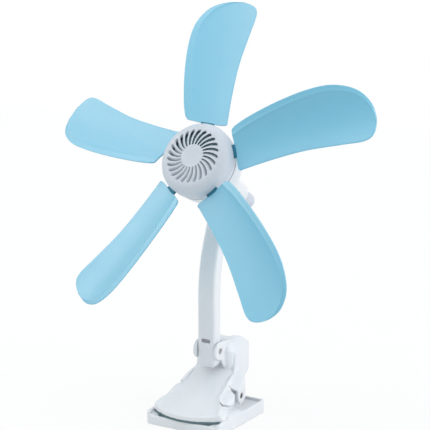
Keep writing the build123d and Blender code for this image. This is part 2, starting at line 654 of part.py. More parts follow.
def nacelle_both():
    """Nacelle as one body, before it is split."""
    outer = turned(nacelle_profile(0))
    outer += both_sides(head_ear_outline(), FORK_INNER, FORK_OUTER)
    inner = turned(nacelle_profile(NACELLE_WALL))
    inner &= rod_y(60, BELL_END - 1, TAIL_END - NACELLE_WALL)
    body = outer - inner
    front = BELL_END + SLIP
    body -= rod_y(NECK_RADIUS - NACELLE_WALL, front - 1, front + 1)
    rib = ring_y(NECK_RADIUS - NACELLE_WALL + 0.3, SPIGOT_RADIUS + SLIP, front + 0.6, COLLAR_BACK - SLIP)
    body += rib
    for along, up in NACELLE_SCREWS:
        post = rod_x(3.0, -20, 20, along, up) & inner
        body += post
    switch_front = SWITCH_END - SWITCH_LENGTH + 2
    switch_seat = ring_y(SWITCH_RADIUS + 2.2, SWITCH_RADIUS + SLIP, switch_front, TAIL_END - NACELLE_WALL)
    body += switch_seat & inner
    body -= rod_y(SWITCH_SHAFT + 1.2, TAIL_END - 10, TAIL_END + 1)
    body -= rod_x(ARM_DEPTH / 2 + 0.8, -FORK_INNER, FORK_INNER, HINGE_BACK, -HINGE_DROP)
    body -= rod_x(HINGE_SCREW + RUN, -30, 30, HINGE_BACK, -HINGE_DROP)
    body -= rod_x(RECESS_RADIUS, FORK_OUTER - RECESS_DEPTH, FORK_OUTER + 4, HINGE_BACK, -HINGE_DROP)
    body -= hexagon_x(NUT_FLATS + 2 * SLIP, -FORK_OUTER - 4, -FORK_OUTER + RECESS_DEPTH, HINGE_BACK, -HINGE_DROP)
    return body


def make_nacelle_half(whole, side):
    """Left (-1) or right (+1) half, with screw holes."""
    x0, x1 = (0.0, 60.0) if side > 0 else (-60.0, 0.0)
    half = whole & block(x0, x1, 0, 200, -80, 80)
    for along, up in NACELLE_SCREWS:
        if side > 0:
            half -= rod_x(SMALL_SCREW + SLIP, -1, 30, along, up)
            half -= rod_x(SMALL_HEAD + SLIP, 6.0, 30, along, up)
        else:
            half -= rod_x(PILOT_HOLE, -7, 1, along, up)
    return half


def make_nacelle_screws():
    """Screws that join the nacelle halves."""
    screws = []
    for along, up in NACELLE_SCREWS:
        head = rod_x(SMALL_HEAD, 6.0 - SMALL_HEAD_HEIGHT + 1.3, 6.0 + 1.3, along, up)
        shank = rod_x(SMALL_SHANK, -6, 6.2, along, up)
        screws.append(head + shank)
    return Compound(screws)


BOSS_CIRCLE = 25.0
BOSS_ANGLES = (90, 210, 330)


def bell_solid(inset):
    """Bell as a solid of revolution, drawn in by an inset."""
    front = BELL_FRONT - (1 if inset else 0)
    radius = BELL_RADIUS - inset
    end = BELL_END - inset
    neck = NECK_RADIUS - inset
    middle = (BELL_SHOULDER - 0.6 * inset, BELL_RADIUS - 6.3 - 0.75 * inset)
    shoulder = arc_corners((BELL_STRAIGHT, radius), middle, (end, neck))
    return turned([(front, 0), (front, radius)] + shoulder + [(end, 0)])


def make_bell():
    """Fixed bell cover with its spigot and the bosses for the stator bracket."""
    cavity = bell_solid(BELL_WALL)
    bell = bell_solid(0) - cavity
    bell += ring_y(SPIGOT_RADIUS, SPIGOT_RADIUS - 2.2, BELL_END - BELL_WALL - 0.3, SPIGOT_END)
    bell += ring_y(NECK_RADIUS - NACELLE_WALL - SLIP, SPIGOT_RADIUS - 1, COLLAR_BACK, COLLAR_BACK + COLLAR_LENGTH)
    bell -= rod_y(SPIGOT_RADIUS - 2.2, BELL_END - 6, SPIGOT_END + 1)
    for angle in BOSS_ANGLES:
        boss = rod_y(3.6, BRACKET_FRONT + BRACKET_THICK + 0.02, BELL_END, BOSS_CIRCLE) & cavity
        bell += at_angle(boss, angle)
        bell -= at_angle(rod_y(PILOT_HOLE, BRACKET_FRONT, BRACKET_FRONT + 9, BOSS_CIRCLE), angle)
    return bell


def make_stator_bracket():
    """Bearing tube with a round flange that is screwed to the bell's bosses."""
    end = BRACKET_FRONT + BRACKET_THICK
    bracket = ring_y(TUBE_OUTER, BEARING_OUTER + 0.02, BEARING_FRONT, end)
    bracket += ring_y(TUBE_OUTER, BEARING_OUTER - 1.2, BEARING_FRONT + BEARING_LENGTH + 0.05, BEARING_REAR - 0.05)
    bracket += ring_y(BRACKET_RADIUS, TUBE_OUTER - 1, BRACKET_FRONT, end)
    for angle in BOSS_ANGLES:
        bracket -= at_angle(rod_y(SMALL_SCREW + SLIP, BRACKET_FRONT - 1, end + 1, BOSS_CIRCLE), angle)
        bracket -= at_angle(rod_y(6.0, BRACKET_FRONT - 1, end + 1, 19.0), angle + 60)
    return bracket


def make_stator_screws():
    """Screws of the stator bracket."""
    screws = []
    for angle in BOSS_ANGLES:
        head = rod_y(SMALL_HEAD, BRACKET_FRONT - SMALL_HEAD_HEIGHT, BRACKET_FRONT - 0.03, BOSS_CIRCLE)
        shank = rod_y(SMALL_SHANK, BRACKET_FRONT - 0.5, BRACKET_FRONT + 7, BOSS_CIRCLE)
        screws.append(at_angle(head + shank, angle))
    return Compound(screws)


TOOTH_ANGLE = 360 / STATOR_TEETH
CORE_RING = TUBE_OUTER + 4.0


def make_stator_core():
    """Laminated core: a ring with nine T-shaped teeth."""
    end = STATOR_FRONT + STATOR_LENGTH
    core = ring_y(CORE_RING, TUBE_OUTER + 0.03, STATOR_FRONT, end)
    shoes = ring_y(STATOR_RADIUS, STATOR_RADIUS - 2.0, STATOR_FRONT, end)
    for i in range(STATOR_TEETH):
        tooth = block(TUBE_OUTER + 2, STATOR_RADIUS - 1, STATOR_FRONT, end, -2.4, 2.4)
        core += at_angle(tooth, i * TOOTH_ANGLE)
        gap = block(STATOR_RADIUS - 5, STATOR_RADIUS + 2, STATOR_FRONT - 1, end + 1, -1.3, 1.3)
        shoes -= at_angle(gap, (i + 0.5) * TOOTH_ANGLE)
    return core + shoes


def make_windings():
    """One coil round each tooth."""
    coils = []
    inner = CORE_RING + 0.6
    outer = STATOR_RADIUS - 3.2
    y0 = STATOR_FRONT - 2.6
    y1 = STATOR_FRONT + STATOR_LENGTH + 2.6
    wedge = Polyline((inner, 4.2), (outer, 6.6), (outer, -6.6), (inner, -4.2), close=True)
    plane = Plane(origin=(0, y0, 0), x_dir=(1, 0, 0), z_dir=(0, 1, 0))
    for i in range(STATOR_TEETH):
        coil = extrude(plane * make_face(wedge), y1 - y0)
        coil -= block(0, 50, STATOR_FRONT - 0.1, STATOR_FRONT + STATOR_LENGTH + 0.1, -2.5, 2.5)
        coils.append(at_angle(coil, i * TOOTH_ANGLE))
    return Compound(coils)


def make_board():
    """Ring-shaped motor board behind the windings, with three sensors."""
    board = ring_y(STATOR_RADIUS - 3, TUBE_OUTER + 0.1, BOARD_FRONT, BOARD_FRONT + 1.4)
    for angle in (20, 60, 100):
        board += at_angle(block(23, 27, BOARD_FRONT - 1.4, BOARD_FRONT + 0.1, -1.6, 1.6), angle)
    for angle in BOSS_ANGLES:
        board -= at_angle(rod_y(3.2, BOARD_FRONT - 2, BOARD_FRONT + 3, BOSS_CIRCLE + 1), angle)
    return board


def bearing(y0):
    """Ball bearing: two rings and a shield between them, as one solid."""
    y1 = y0 + BEARING_LENGTH
    body = ring_y(BEARING_OUTER, SHAFT_RADIUS + 0.02, y0, y1)
    for face in (y0, y1):
        body -= ring_y(BEARING_OUTER - 1.2, SHAFT_RADIUS + 1.2, face - 0.5, face + 0.5)
    return body


def make_switch_body():
    """Rotary switch behind the tail's end wall, with three solder tags."""
    body = rod_y(SWITCH_RADIUS, SWITCH_END - SWITCH_LENGTH, SWITCH_END)
    for angle in (0, 120, 240):
        tag = block(4, 6, SWITCH_END - SWITCH_LENGTH - 5, SWITCH_END - SWITCH_LENGTH + 0.1, -0.4, 0.4)
        body += at_angle(tag, angle)
    return body - rod_y(SWITCH_SHAFT + RUN, SWITCH_END - 6, SWITCH_END + 1)


def make_switch_shaft():
    """Shaft with a flat, from the switch into the knob."""
    shaft = rod_y(SWITCH_SHAFT, SWITCH_END - 5.8, TAIL_END + 14)
    flat = block(-5, 5, TAIL_END + 3, TAIL_END + 15, SWITCH_SHAFT - 0.9, 5)
    return shaft - flat


def make_knob():
    """Speed knob with fine grips round its skirt and a hollow back."""
    y0 = TAIL_END + 0.5
    bevel = KNOB_TIP_RADIUS - KNOB_BEVEL
    knob = turned([(y0, 0), (y0, KNOB_RADIUS), (KNOB_END - KNOB_BEVEL, KNOB_TIP_RADIUS), (KNOB_END, bevel), (KNOB_END, 0)])
    for i in range(KNOB_GRIPS):
        groove = rod_y(0.6, TAIL_END + 4, KNOB_END - 4, KNOB_RADIUS + 0.1)
        knob -= at_angle(groove, i * 360 / KNOB_GRIPS)
    knob -= ring_y(KNOB_RADIUS - 2.2, SWITCH_SHAFT + 2.5, y0 - 1, KNOB_END - 3)
    bore = rod_y(SWITCH_SHAFT + 0.02, y0 - 1, TAIL_END + 14.2)
    flat = block(-5, 5, TAIL_END + 3.1, TAIL_END + 15, SWITCH_SHAFT - 0.85, 5)
    return knob - (bore - flat)


# ---------------------------------------------------------------- rotor
def dome_solid(inset):
    """Solid of the turning shell's outer form, drawn in by an inset."""
    front = DOME_FRONT + inset
    vent_edge = VENT_FRONT + inset
    rim = HUB_RADIUS - inset
    back = RIM_BACK + (1 if inset else 0)
    middle = (VENT_FRONT + 3.6 + 0.75 * inset, VENT_OUTER + 8.2 - 0.8 * inset)
    shoulder = arc_corners((vent_edge, VENT_OUTER), middle, (-1.0, rim))
    return turned([(front, 0), (front, DISC_RADIUS)] + shoulder + [(back, rim), (back, 0)])


def vent_slot():
    """One curved slot: its outer end lags its inner end."""
    def polar(radius, degrees, shift):
        angle = math.radians(degrees)
        return (radius * math.cos(angle) - shift * math.sin(angle), radius * math.sin(angle) + shift * math.cos(angle))
    middle = (VENT_INNER + VENT_OUTER) / 2
    half_in = VENT_INNER_WIDTH / 2
    half_mid = (VENT_INNER_WIDTH + VENT_OUTER_WIDTH) / 4
    half_out = VENT_OUTER_WIDTH / 2
    bend = -VENT_SWEEP * 0.32
    a_in, b_in = polar(VENT_INNER, 0, half_in), polar(VENT_INNER, 0, -half_in)
    a_mid, b_mid = polar(middle, bend, half_mid), polar(middle, bend, -half_mid)
    a_out, b_out = polar(VENT_OUTER, -VENT_SWEEP, half_out), polar(VENT_OUTER, -VENT_SWEEP, -half_out)
    tip = polar(VENT_OUTER + 1.6, -VENT_SWEEP, 0)
    edges = [ThreePointArc(a_in, a_mid, a_out), ThreePointArc(a_out, tip, b_out),
             ThreePointArc(b_out, b_mid, b_in), Line(b_in, a_in)]
    plane = Plane(origin=(0, DOME_FRONT - 2, 0), x_dir=(1, 0, 0), z_dir=(0, -1, 0))
    return extrude(plane * make_face(edges), -8)


def blade_frame(radius):
    """Pitch in radians, camber offset share and fore-aft place of the blade at a radius."""
    share = (radius - BLADE_ROOT) / (BLADE_TIP - BLADE_ROOT)
    pitch = math.radians(BLADE_PITCH + BLADE_TWIST * share)
    return pitch, BLADE_DROOP * share


def blade_chord_point(radius, chord, lift):
    """Point of a blade that points along +X: chord runs counterclockwise, lift to the front."""
    pitch, droop = blade_frame(radius)
    bow = -BLADE_CAMBER * (1 - (chord / CAMBER_SPAN) ** 2)
    up = chord * math.cos(pitch) - (bow + lift) * math.sin(pitch)
    forward = chord * math.sin(pitch) + (bow + lift) * math.cos(pitch)
    return (radius, -forward + droop, up)


def blade_section(radius):
    """Curved strip that the blade is lofted through."""
    middle = (CHORD_LOW + CHORD_HIGH) / 2
    half = BLADE_THICK / 2
    front = [blade_chord_point(radius, chord, half) for chord in (CHORD_LOW, middle, CHORD_HIGH)]
    back = [blade_chord_point(radius, chord, -half) for chord in (CHORD_HIGH, middle, CHORD_LOW)]
    edges = [ThreePointArc(*front), Line(front[2], back[0]), ThreePointArc(*back), Line(back[2], front[0])]
    return make_face(edges)


# outline of a blade that points along +X, as (radius, chord): out along the leading edge, round
# the tip and back along the trailing edge
BLADE_OUTLINE = ((BLADE_ROOT, 25.5), (66, 33.5), (100, 42.0), (135, 47.3), (163, 46.8), (186, 37.5), (198, 21.0),
                 (BLADE_TIP, 3.0), (195, -12.5), (184, -18.2), (160, -17.0), (120, -15.2), (80, -18.0),
                 (BLADE_ROOT, -22.5))
CHORD_LOW = -30.0
CHORD_HIGH = 56.0


def blade_plan():
    """Blade outline with a straight root and round corners there."""
    edge = Spline(*BLADE_OUTLINE)
    outline = make_face([edge, Line(BLADE_OUTLINE[-1], BLADE_OUTLINE[0])])
    return fillet(outline.vertices(), BLADE_CORNER)


def make_blade():
    """Blade along +X: cambered, twisted sheet trimmed to its outline, with its stem."""
    sheet = loft([blade_section(BLADE_ROOT - 6), blade_section(BLADE_TIP + 6)], ruled=True)
    plane = Plane(origin=(0, 60, 0), x_dir=(1, 0, 0), z_dir=(0, -1, 0))
    blade = sheet & extrude(plane * blade_plan(), 120)
    pitch, _ = blade_frame(BLADE_ROOT)
    length = BLADE_ROOT + 6 - STEM_END
    stem = Box(length, STEM_THICK, STEM_WIDTH)
    stem = fillet(stem.edges().filter_by(Axis.X), 0.8)
    return blade + stem_place(length) * stem


def stem_place(length):
    """Where a stem or its socket lies: pitched with the blade's root, behind the blade plane."""
    return Pos(STEM_END + length / 2, BLADE_CAMBER, 0) * Rot(BLADE_PITCH, 0, 0)


def make_rotor_shell():
    """Turning shell: vented dome, rim with sockets, seat tube and centre boss."""
    shell = dome_solid(0) - dome_solid(SHELL_WALL)
    shell += ring_y(SEAT_TUBE_OUTER, SEAT_TUBE_INNER, -7.0, RIM_BACK - 0.5)
    slot = vent_slot()
    cuts = []
    for i in range(VENT_COUNT):
        cuts.append(at_angle(slot, i * 360 / VENT_COUNT))
    shell -= cuts
    shell += rod_y(7.0, DOME_FRONT + 1, -5.4)
    shell -= rod_y(SHAFT_RADIUS + 0.02, DOME_FRONT + SHELL_WALL + 0.6, 0)
    depth = HUB_RADIUS + 3 - STEM_END
    housing = Box(HUB_RADIUS - 1 - SEAT_TUBE_INNER, STEM_THICK + 3.0, STEM_WIDTH + 3.0)
    hole = Box(depth, STEM_THICK + 2 * SLIP, STEM_WIDTH + 2 * SLIP)
    for i in range(BLADES):
        angle = BLADE_START + i * 360 / BLADES
        place = Pos(SEAT_TUBE_INNER + (HUB_RADIUS - 1 - SEAT_TUBE_INNER) / 2, BLADE_CAMBER, 0) * Rot(BLADE_PITCH, 0, 0)
        socket = place * housing & rod_y(HUB_RADIUS - 0.5, -20, RIM_BACK)
        shell += at_angle(socket, angle)
        shell -= at_angle(stem_place(depth) * hole, angle)
    return shell


def make_magnets():
    """Ten curved magnets inside the steel ring."""
    outer = STATOR_RADIUS + AIR_GAP + MAGNET_THICK
    whole = ring_y(outer, outer - MAGNET_THICK, STATOR_FRONT - 1, STATOR_FRONT + STATOR_LENGTH + 1)
    count = 10
    pieces = whole
    for i in range(count):
        pieces -= at_angle(block(STATOR_RADIUS, outer + 1, STATOR_FRONT - 2, STATOR_FRONT + STATOR_LENGTH + 2, -0.5, 0.5), i * 360 / count)
    return Compound(pieces.solids())


def make_rotor_ring():
    """Steel ring pressed into the shell's seat tube."""
    return ring_y(SEAT_TUBE_INNER - 0.02, RING_OUTER - RING_THICK + 0.02, RING_FRONT, RIM_BACK - 1) + \
        ring_y(RING_OUTER, RING_OUTER - RING_THICK + 0.02, RING_FRONT, RING_FRONT + RING_LENGTH)


def make_rotor_shaft():
    """Motor shaft with a groove for its circlip."""
    shaft = rod_y(SHAFT_RADIUS, DOME_FRONT + SHELL_WALL + 0.8, BRACKET_FRONT + 8)
    return shaft - ring_y(SHAFT_RADIUS + 1, SHAFT_RADIUS - 0.6, CLIP_BACK, CLIP_BACK + 0.9)


CLIP_BACK = BEARING_REAR + BEARING_LENGTH + 0.2


def make_circlip():
    """Open ring in the shaft's groove."""
    clip = ring_y(SHAFT_RADIUS + 1.8, SHAFT_RADIUS - 0.55, CLIP_BACK + 0.05, CLIP_BACK + 0.85)
    return clip - block(0, 10, CLIP_BACK - 1, CLIP_BACK + 2, -1.6, 1.6)


def make_thrust_washer():
    """Washer between the shell's boss and the front bearing."""
    return ring_y(5.2, SHAFT_RADIUS + 0.05, -5.35, BEARING_FRONT - 0.05)


# ---------------------------------------------------------------- clip spring
def biarc(p0, t0, p1, t1):
    """Two arcs that join two points with given directions; returns both and their joint."""
    chord = p1 - p0
    total = t0 + t1
    a = total.dot(total) - 4.0
    b = -2.0 * chord.dot(total)
    c = chord.dot(chord)
    reach = (-b - math.sqrt(b * b - 4 * a * c)) / (2 * a)
    q0 = p0 + t0 * reach
    q1 = p1 - t1 * reach
    joint = (q0 + q1) * 0.5
    return arc_by_corner(p0, q0, joint), arc_by_corner(joint, q1, p1)


def arc_by_corner(start, corner, end):
    """Arc tangent to both legs of a corner at its ends."""
    middle = (start + end) * 0.5
    half = (end - start).length / 2
    height = (corner - middle).length
    rise = half * math.tan(math.atan2(height, half) / 2)
    return ThreePointArc(start, middle + (corner - middle).normalized() * rise, end)


COIL_RADIUS = PIN_RADIUS + COIL_GAP + WIRE
LOWER_LEG_SLOPE = 38.0     # degrees that the lower leg falls towards the rear
LOWER_LEG = 27.6
UPPER_LEG_SLOPE = 79.5     # degrees that the upper leg rises towards the rear
UPPER_LEG = 34.0
FIRST_TURN = (90.0 - LOWER_LEG_SLOPE) / 360
LAST_TURN = (UPPER_LEG_SLOPE - 90.0) / 360 + COIL_TURNS
HALF_TURNS = 2 * COIL_TURNS - 1


def coil_point(turns):
    """Point and direction of the coil after some turns, about the pin."""
    angle = 2 * math.pi * turns
    x = (turns - COIL_TURNS / 2) * COIL_PITCH
    point = Vector(x, PIVOT_Y + COIL_RADIUS * math.cos(angle), PIVOT_Z + COIL_RADIUS * math.sin(angle))
    slope = COIL_PITCH / (2 * math.pi * COIL_RADIUS)
    direction = Vector(slope, -math.sin(angle), math.cos(angle)).normalized()
    return point, direction


def spring_path():
    """Lower leg, coil and upper leg as one tangent line of arcs and straights."""
    point, way = coil_point(FIRST_TURN)
    edges = [Line(point - way * LOWER_LEG, point)]
    for i in range(1, HALF_TURNS + 1):
        turns = FIRST_TURN + (LAST_TURN - FIRST_TURN) * i / HALF_TURNS
        new_point, new_way = coil_point(turns)
        edges.extend(biarc(point, way, new_point, new_way))
        point, way = new_point, new_way
    edges.append(Line(point, point + way * UPPER_LEG))
    return edges


def make_spring():
    """Torsion spring swept along its path."""
    edges = spring_path()
    path = Wire(edges)
    start = edges[0] @ 0
    way = edges[0] % 0
    section = Plane(origin=start, z_dir=way) * Circle(WIRE)
    return sweep(section, path=path)


def spring_gap():
    """Least gap between neighbouring turns, from points half a turn and a whole turn apart."""
    least = 1e9
    for i in range(40 * (COIL_TURNS - 1)):
        here, _ = coil_point(i / 40)
        for j in range(20, 60):
            there, _ = coil_point((i + j) / 40)
            least = min(least, (there - here).length)
    return least - 2 * WIRE


# ---------------------------------------------------------------- build
def build_clip():
    save("lower_jaw", make_lower_jaw())
    save("lower_cover", make_lower_cover())
    save("cover_screws", make_cover_screws())
    save("lower_pad", pad_block(LOWER_PAD_Z))
    save("upper_jaw", make_upper_jaw())
    save("upper_pad", pad_block(LIP_Z - PAD_PROUD))
    save("clip_pin", make_clip_pin())
    save("clip_spring", make_spring())


def build_arm():
    save("arm_body", make_arm_body())
    save("arm_cover", make_arm_cover())
    save("arm_screws", make_arm_screws())
    save("foot_hinge_screw", hinge_screw(ARM_Y, ARM_Z))
    save("foot_hinge_nut", hinge_nut(ARM_Y, ARM_Z))
    save("foot_hinge_washers", hinge_washers(ARM_Y, ARM_Z))


def build_head():
    whole = nacelle_both()
    head = {
        "nacelle_right": make_nacelle_half(whole, 1),
        "nacelle_left": make_nacelle_half(whole, -1),
        "nacelle_screws": make_nacelle_screws(),
        "head_hinge_screw": hinge_screw(HINGE_BACK, -HINGE_DROP),
        "head_hinge_nut": hinge_nut(HINGE_BACK, -HINGE_DROP),
        "head_hinge_washers": hinge_washers(HINGE_BACK, -HINGE_DROP),
        "bell_cover": make_bell(),
        "stator_bracket": make_stator_bracket(),
        "stator_screws": make_stator_screws(),
        "stator_core": make_stator_core(),
        "stator_windings": make_windings(),
        "motor_board": make_board(),
        "front_bearing": bearing(BEARING_FRONT),
        "rear_bearing": bearing(BEARING_REAR),
        "switch_body": make_switch_body(),
        "switch_shaft": make_switch_shaft(),
        "speed_knob": make_knob(),
        "rotor_shell": make_rotor_shell(),
        "rotor_magnets": make_magnets(),
        "rotor_ring": make_rotor_ring(),
        "rotor_shaft": make_rotor_shaft(),
        "shaft_circlip": make_circlip(),
        "thrust_washer": make_thrust_washer(),
    }
    blade = make_blade()
    for i in range(BLADES):
        head[f"blade_{i + 1}"] = at_angle(blade, BLADE_START + i * 360 / BLADES)
    for name, shape in head.items():
        save(name, HEAD_PLACE * shape)


build_clip()
build_arm()
build_head()
print("head hinge y, z:", round(HEAD_HINGE_Y, 2), round(HEAD_HINGE_Z, 2))
print("hub centre y, z:", round(HUB_Y, 2), round(HUB_Z, 2))
print("spring's least gap to itself:", round(spring_gap(), 2), "mm")
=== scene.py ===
"""Looks of the clip fan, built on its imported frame. Metres, +Z up, the front faces -Y."""
import json
import math

import bmesh
import bpy
from mathutils import Matrix, Vector


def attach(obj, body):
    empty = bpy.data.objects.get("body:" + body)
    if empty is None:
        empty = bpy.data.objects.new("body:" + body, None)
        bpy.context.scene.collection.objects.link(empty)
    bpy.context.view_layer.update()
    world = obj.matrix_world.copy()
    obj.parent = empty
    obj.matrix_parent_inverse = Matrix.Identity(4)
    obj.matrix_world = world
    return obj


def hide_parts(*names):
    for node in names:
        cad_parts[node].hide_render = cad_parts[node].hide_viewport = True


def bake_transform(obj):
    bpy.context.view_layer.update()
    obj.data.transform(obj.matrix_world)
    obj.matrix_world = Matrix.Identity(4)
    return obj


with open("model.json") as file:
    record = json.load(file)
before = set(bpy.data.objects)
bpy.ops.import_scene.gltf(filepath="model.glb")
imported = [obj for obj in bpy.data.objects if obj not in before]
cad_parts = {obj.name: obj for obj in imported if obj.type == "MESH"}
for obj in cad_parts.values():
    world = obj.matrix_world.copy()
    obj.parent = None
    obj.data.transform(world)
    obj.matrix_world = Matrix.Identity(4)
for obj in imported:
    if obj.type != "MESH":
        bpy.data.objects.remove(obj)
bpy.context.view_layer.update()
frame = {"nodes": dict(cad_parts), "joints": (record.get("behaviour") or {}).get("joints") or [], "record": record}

# ---------------------------------------------------------------- places taken from the frame
MM = 0.001
JOINTS = {joint["name"]: joint for joint in frame["joints"]}
HUB = Vector(JOINTS["rotor_spin"]["pos_m"])
MOTOR_AXIS = Vector(JOINTS["rotor_spin"]["axis"])                 # rearward along the shaft
HEAD_PITCH = math.atan2(-MOTOR_AXIS.z, MOTOR_AXIS.y)
# Head and rotor pieces are drawn in millimetres in the head's frame: the motor axis along Y, the
# blade plane at Y = 0 and the air leaving towards -Y. Clip and arm pieces are drawn in millimetres
# in the part's own frame.
HEAD_MM = Matrix.Translation(HUB) @ Matrix.Rotation(-HEAD_PITCH, 4, "X") @ Matrix.Scale(MM, 4)
CLIP_MM = Matrix.Scale(MM, 4)


# ---------------------------------------------------------------- node helpers
def set_inputs(tree, node, values):
    """Set or link several inputs of a node, each known by its name or number."""
    for key, value in values.items():
        if isinstance(value, bpy.types.NodeSocket):
            tree.links.new(value, node.inputs[key])
        else:
            node.inputs[key].default_value = value


def node_material(name):
    """New node material with its Principled shader and a function that adds linked nodes."""
    material = bpy.data.materials.new(name)
    material.use_nodes = True
    tree = material.node_tree
    shader = tree.nodes["Principled BSDF"]

    def add(kind, **inputs):
        node = tree.nodes.new(kind)
        set_inputs(tree, node, {key.replace("_", " "): value for key, value in inputs.items()})
        return node

    return material, tree, shader, add


def two_tones(add, noise, stops, shade, colour):
    """Colour that goes from a shade to a fuller tone as a noise rises between two stops."""
    ramp = add("ShaderNodeValToRGB", Fac=noise.outputs["Fac"])
    for element, stop, tone in zip(ramp.color_ramp.elements, stops, (shade, colour)):
        element.position = stop
        element.color = (*tone, 1)
    return ramp.outputs["Color"]


def uneven_gloss(add, noise, least, most):
    """Roughness that goes from its least to its most as a noise crosses its middle range."""
    spread = add("ShaderNodeMapRange", Value=noise.outputs["Fac"], From_Min=0.3, From_Max=0.7,
                 To_Min=least, To_Max=most)
    return spread.outputs["Result"]


def fine_relief(add, noise, strength, depth):
    """Normal of a fine relief that follows a noise."""
    bump = add("ShaderNodeBump", Strength=strength, Distance=depth, Height=noise.outputs["Fac"])
    return bump.outputs["Normal"]


# ---------------------------------------------------------------- materials
PLASTIC_STOPS = (0.25, 0.75)
PLASTIC_CLOUD = 26.0       # how fine the clouds in a plastic's colour are
PLASTIC_GLOSS = 70.0       # how fine the patches in its gloss are
PLASTIC_RELIEF = 0.0002    # depth of its moulded grain, in metres
METAL_STOPS = (0.32, 0.66)
METAL_SHADE = 0.78         # how dark a metal's streaks are beside its colour
METAL_RELIEF = 0.0001      # depth of a metal's streaks, in metres


def moulded_plastic(name, colour, shade, roughness, grain=900.0, bump=0.04, subsurface=0.0,
                    coat=0.0, coat_roughness=0.12, coat_ior=1.5):
    """Moulded plastic: cloudy colour between two tones, uneven gloss and a fine moulded grain."""
    material, tree, shader, add = node_material(name)
    place = add("ShaderNodeTexCoord").outputs["Object"]
    cloud = add("ShaderNodeTexNoise", Vector=place, Scale=PLASTIC_CLOUD, Detail=4.0, Roughness=0.6)
    gloss = add("ShaderNodeTexNoise", Vector=place, Scale=PLASTIC_GLOSS, Detail=5.0)
    fine = add("ShaderNodeTexNoise", Vector=place, Scale=grain, Detail=3.0)
    set_inputs(tree, shader, {
        "Base Color": two_tones(add, cloud, PLASTIC_STOPS, shade, colour),
        "Roughness": uneven_gloss(add, gloss, least=roughness * 0.8, most=roughness * 1.25),
        "Normal": fine_relief(add, fine, strength=bump, depth=PLASTIC_RELIEF),
        "Subsurface Weight": subsurface,
        "Subsurface Radius": (0.004, 0.004, 0.005),
        "Subsurface Scale": 1.0,
        "Coat Weight": coat,
        "Coat Roughness": coat_roughness,
        "Coat IOR": coat_ior,
    })
    return material


def metal(name, colour, roughness, scale=400.0, stretch=(1, 1, 1)):
    """Plated or drawn metal with fine streaks and uneven gloss."""
    material, tree, shader, add = node_material(name)
    place = add("ShaderNodeTexCoord").outputs["Object"]
    mapping = add("ShaderNodeMapping", Vector=place, Scale=stretch)
    streak = add("ShaderNodeTexNoise", Vector=mapping.outputs["Vector"], Scale=scale, Detail=6.0)
    shade = [METAL_SHADE * value for value in colour]
    set_inputs(tree, shader, {
        "Base Color": two_tones(add, streak, METAL_STOPS, shade, colour),
        "Metallic": 1.0,
        "Roughness": uneven_gloss(add, streak, least=roughness * 0.7, most=roughness * 1.3),
        "Normal": fine_relief(add, streak, strength=0.08, depth=METAL_RELIEF),
    })
    return material


# one finish for each slot of the record, then those of single pieces
materials = {
    "body_plastic": moulded_plastic("white_plastic", (0.805, 0.818, 0.845), (0.775, 0.79, 0.82),
                                    0.34, subsurface=0.08, coat=0.15),
    "blade_plastic": moulded_plastic("blade_plastic", (0.115, 0.465, 0.645), (0.107, 0.45, 0.635),
                                     0.4, bump=0.02, subsurface=0.1, coat=0.62,
                                     coat_roughness=0.4, coat_ior=2.3),
    "knob_plastic": moulded_plastic("knob_plastic", (0.62, 0.65, 0.72), (0.58, 0.61, 0.68), 0.45),
    "pad_rubber": moulded_plastic("pad_rubber", (0.12, 0.19, 0.21), (0.10, 0.16, 0.18), 0.65,
                                  grain=1500.0, bump=0.2),
    "screw_steel": metal("screw_steel", (0.62, 0.62, 0.63), 0.32),
    "spring_steel": metal("spring_steel", (0.55, 0.55, 0.56), 0.26, stretch=(1, 8, 8)),
    "core_steel": metal("core_steel", (0.26, 0.26, 0.27), 0.45, scale=900.0, stretch=(1, 12, 1)),
    "ring_steel": metal("ring_steel", (0.42, 0.42, 0.43), 0.4),
    "bearing_steel": metal("bearing_steel", (0.58, 0.58, 0.59), 0.22),
    "magnet_ferrite": moulded_plastic("magnet_ferrite", (0.045, 0.045, 0.05),
                                      (0.03, 0.03, 0.034), 0.6, bump=0.3),
    "winding_copper": metal("winding_copper", (0.60, 0.24, 0.10), 0.3, scale=1400.0,
                            stretch=(1, 1, 10)),
    "bracket_aluminium": metal("bracket_aluminium", (0.60, 0.61, 0.62), 0.45),
    "board_laminate": moulded_plastic("board_laminate", (0.03, 0.16, 0.07), (0.02, 0.12, 0.05),
                                      0.4, bump=0.1),
    "switch_plastic": moulded_plastic("switch_plastic", (0.02, 0.02, 0.022),
                                      (0.014, 0.014, 0.016), 0.5),
    "washer_nylon": moulded_plastic("washer_nylon", (0.66, 0.65, 0.60), (0.6, 0.59, 0.54), 0.5),
    # the cap's finish is the body's white plastic made darker and bluer: painted shade
    "cap_plastic": moulded_plastic("cap_plastic", (0.61, 0.65, 0.71), (0.59, 0.63, 0.69), 0.45,
                                   subsurface=0.08),
    "rotor_face": moulded_plastic("rotor_face", (0.46, 0.66, 0.70), (0.42, 0.61, 0.65), 0.5,
                                  bump=0.1),
    # near-black for the clip pin's end: painted shade of the pivot recess
    "pin_finish": moulded_plastic("pin_finish", (0.05, 0.05, 0.055), (0.04, 0.04, 0.045), 0.4,
                                  bump=0.1),
    # blade plastic darkened to dark teal for the stems: painted shade of the gap where each stem enters the shell
    "root_shade": moulded_plastic("root_shade", (0.004, 0.16, 0.26), (0.003, 0.14, 0.235), 0.5,
                                  bump=0.05),
    # grey for the plate behind the arm's oval opening: painted shade of the arm's dark inside
    "baffle_grey": moulded_plastic("baffle_grey", (0.45, 0.45, 0.47), (0.40, 0.40, 0.42), 0.6,
                                   bump=0.1),
}
# the clip pin takes the near-black of painted shade in its recess instead of its slot's finish
NODE_FINISHES = {"clip_pin": "pin_finish"}
for entry in frame["record"]["subparts"]:
    finish = NODE_FINISHES.get(entry["node"], entry["material_slot"])
    node = frame["nodes"][entry["node"]]
    node.data.materials.clear()
    node.data.materials.append(materials[finish])


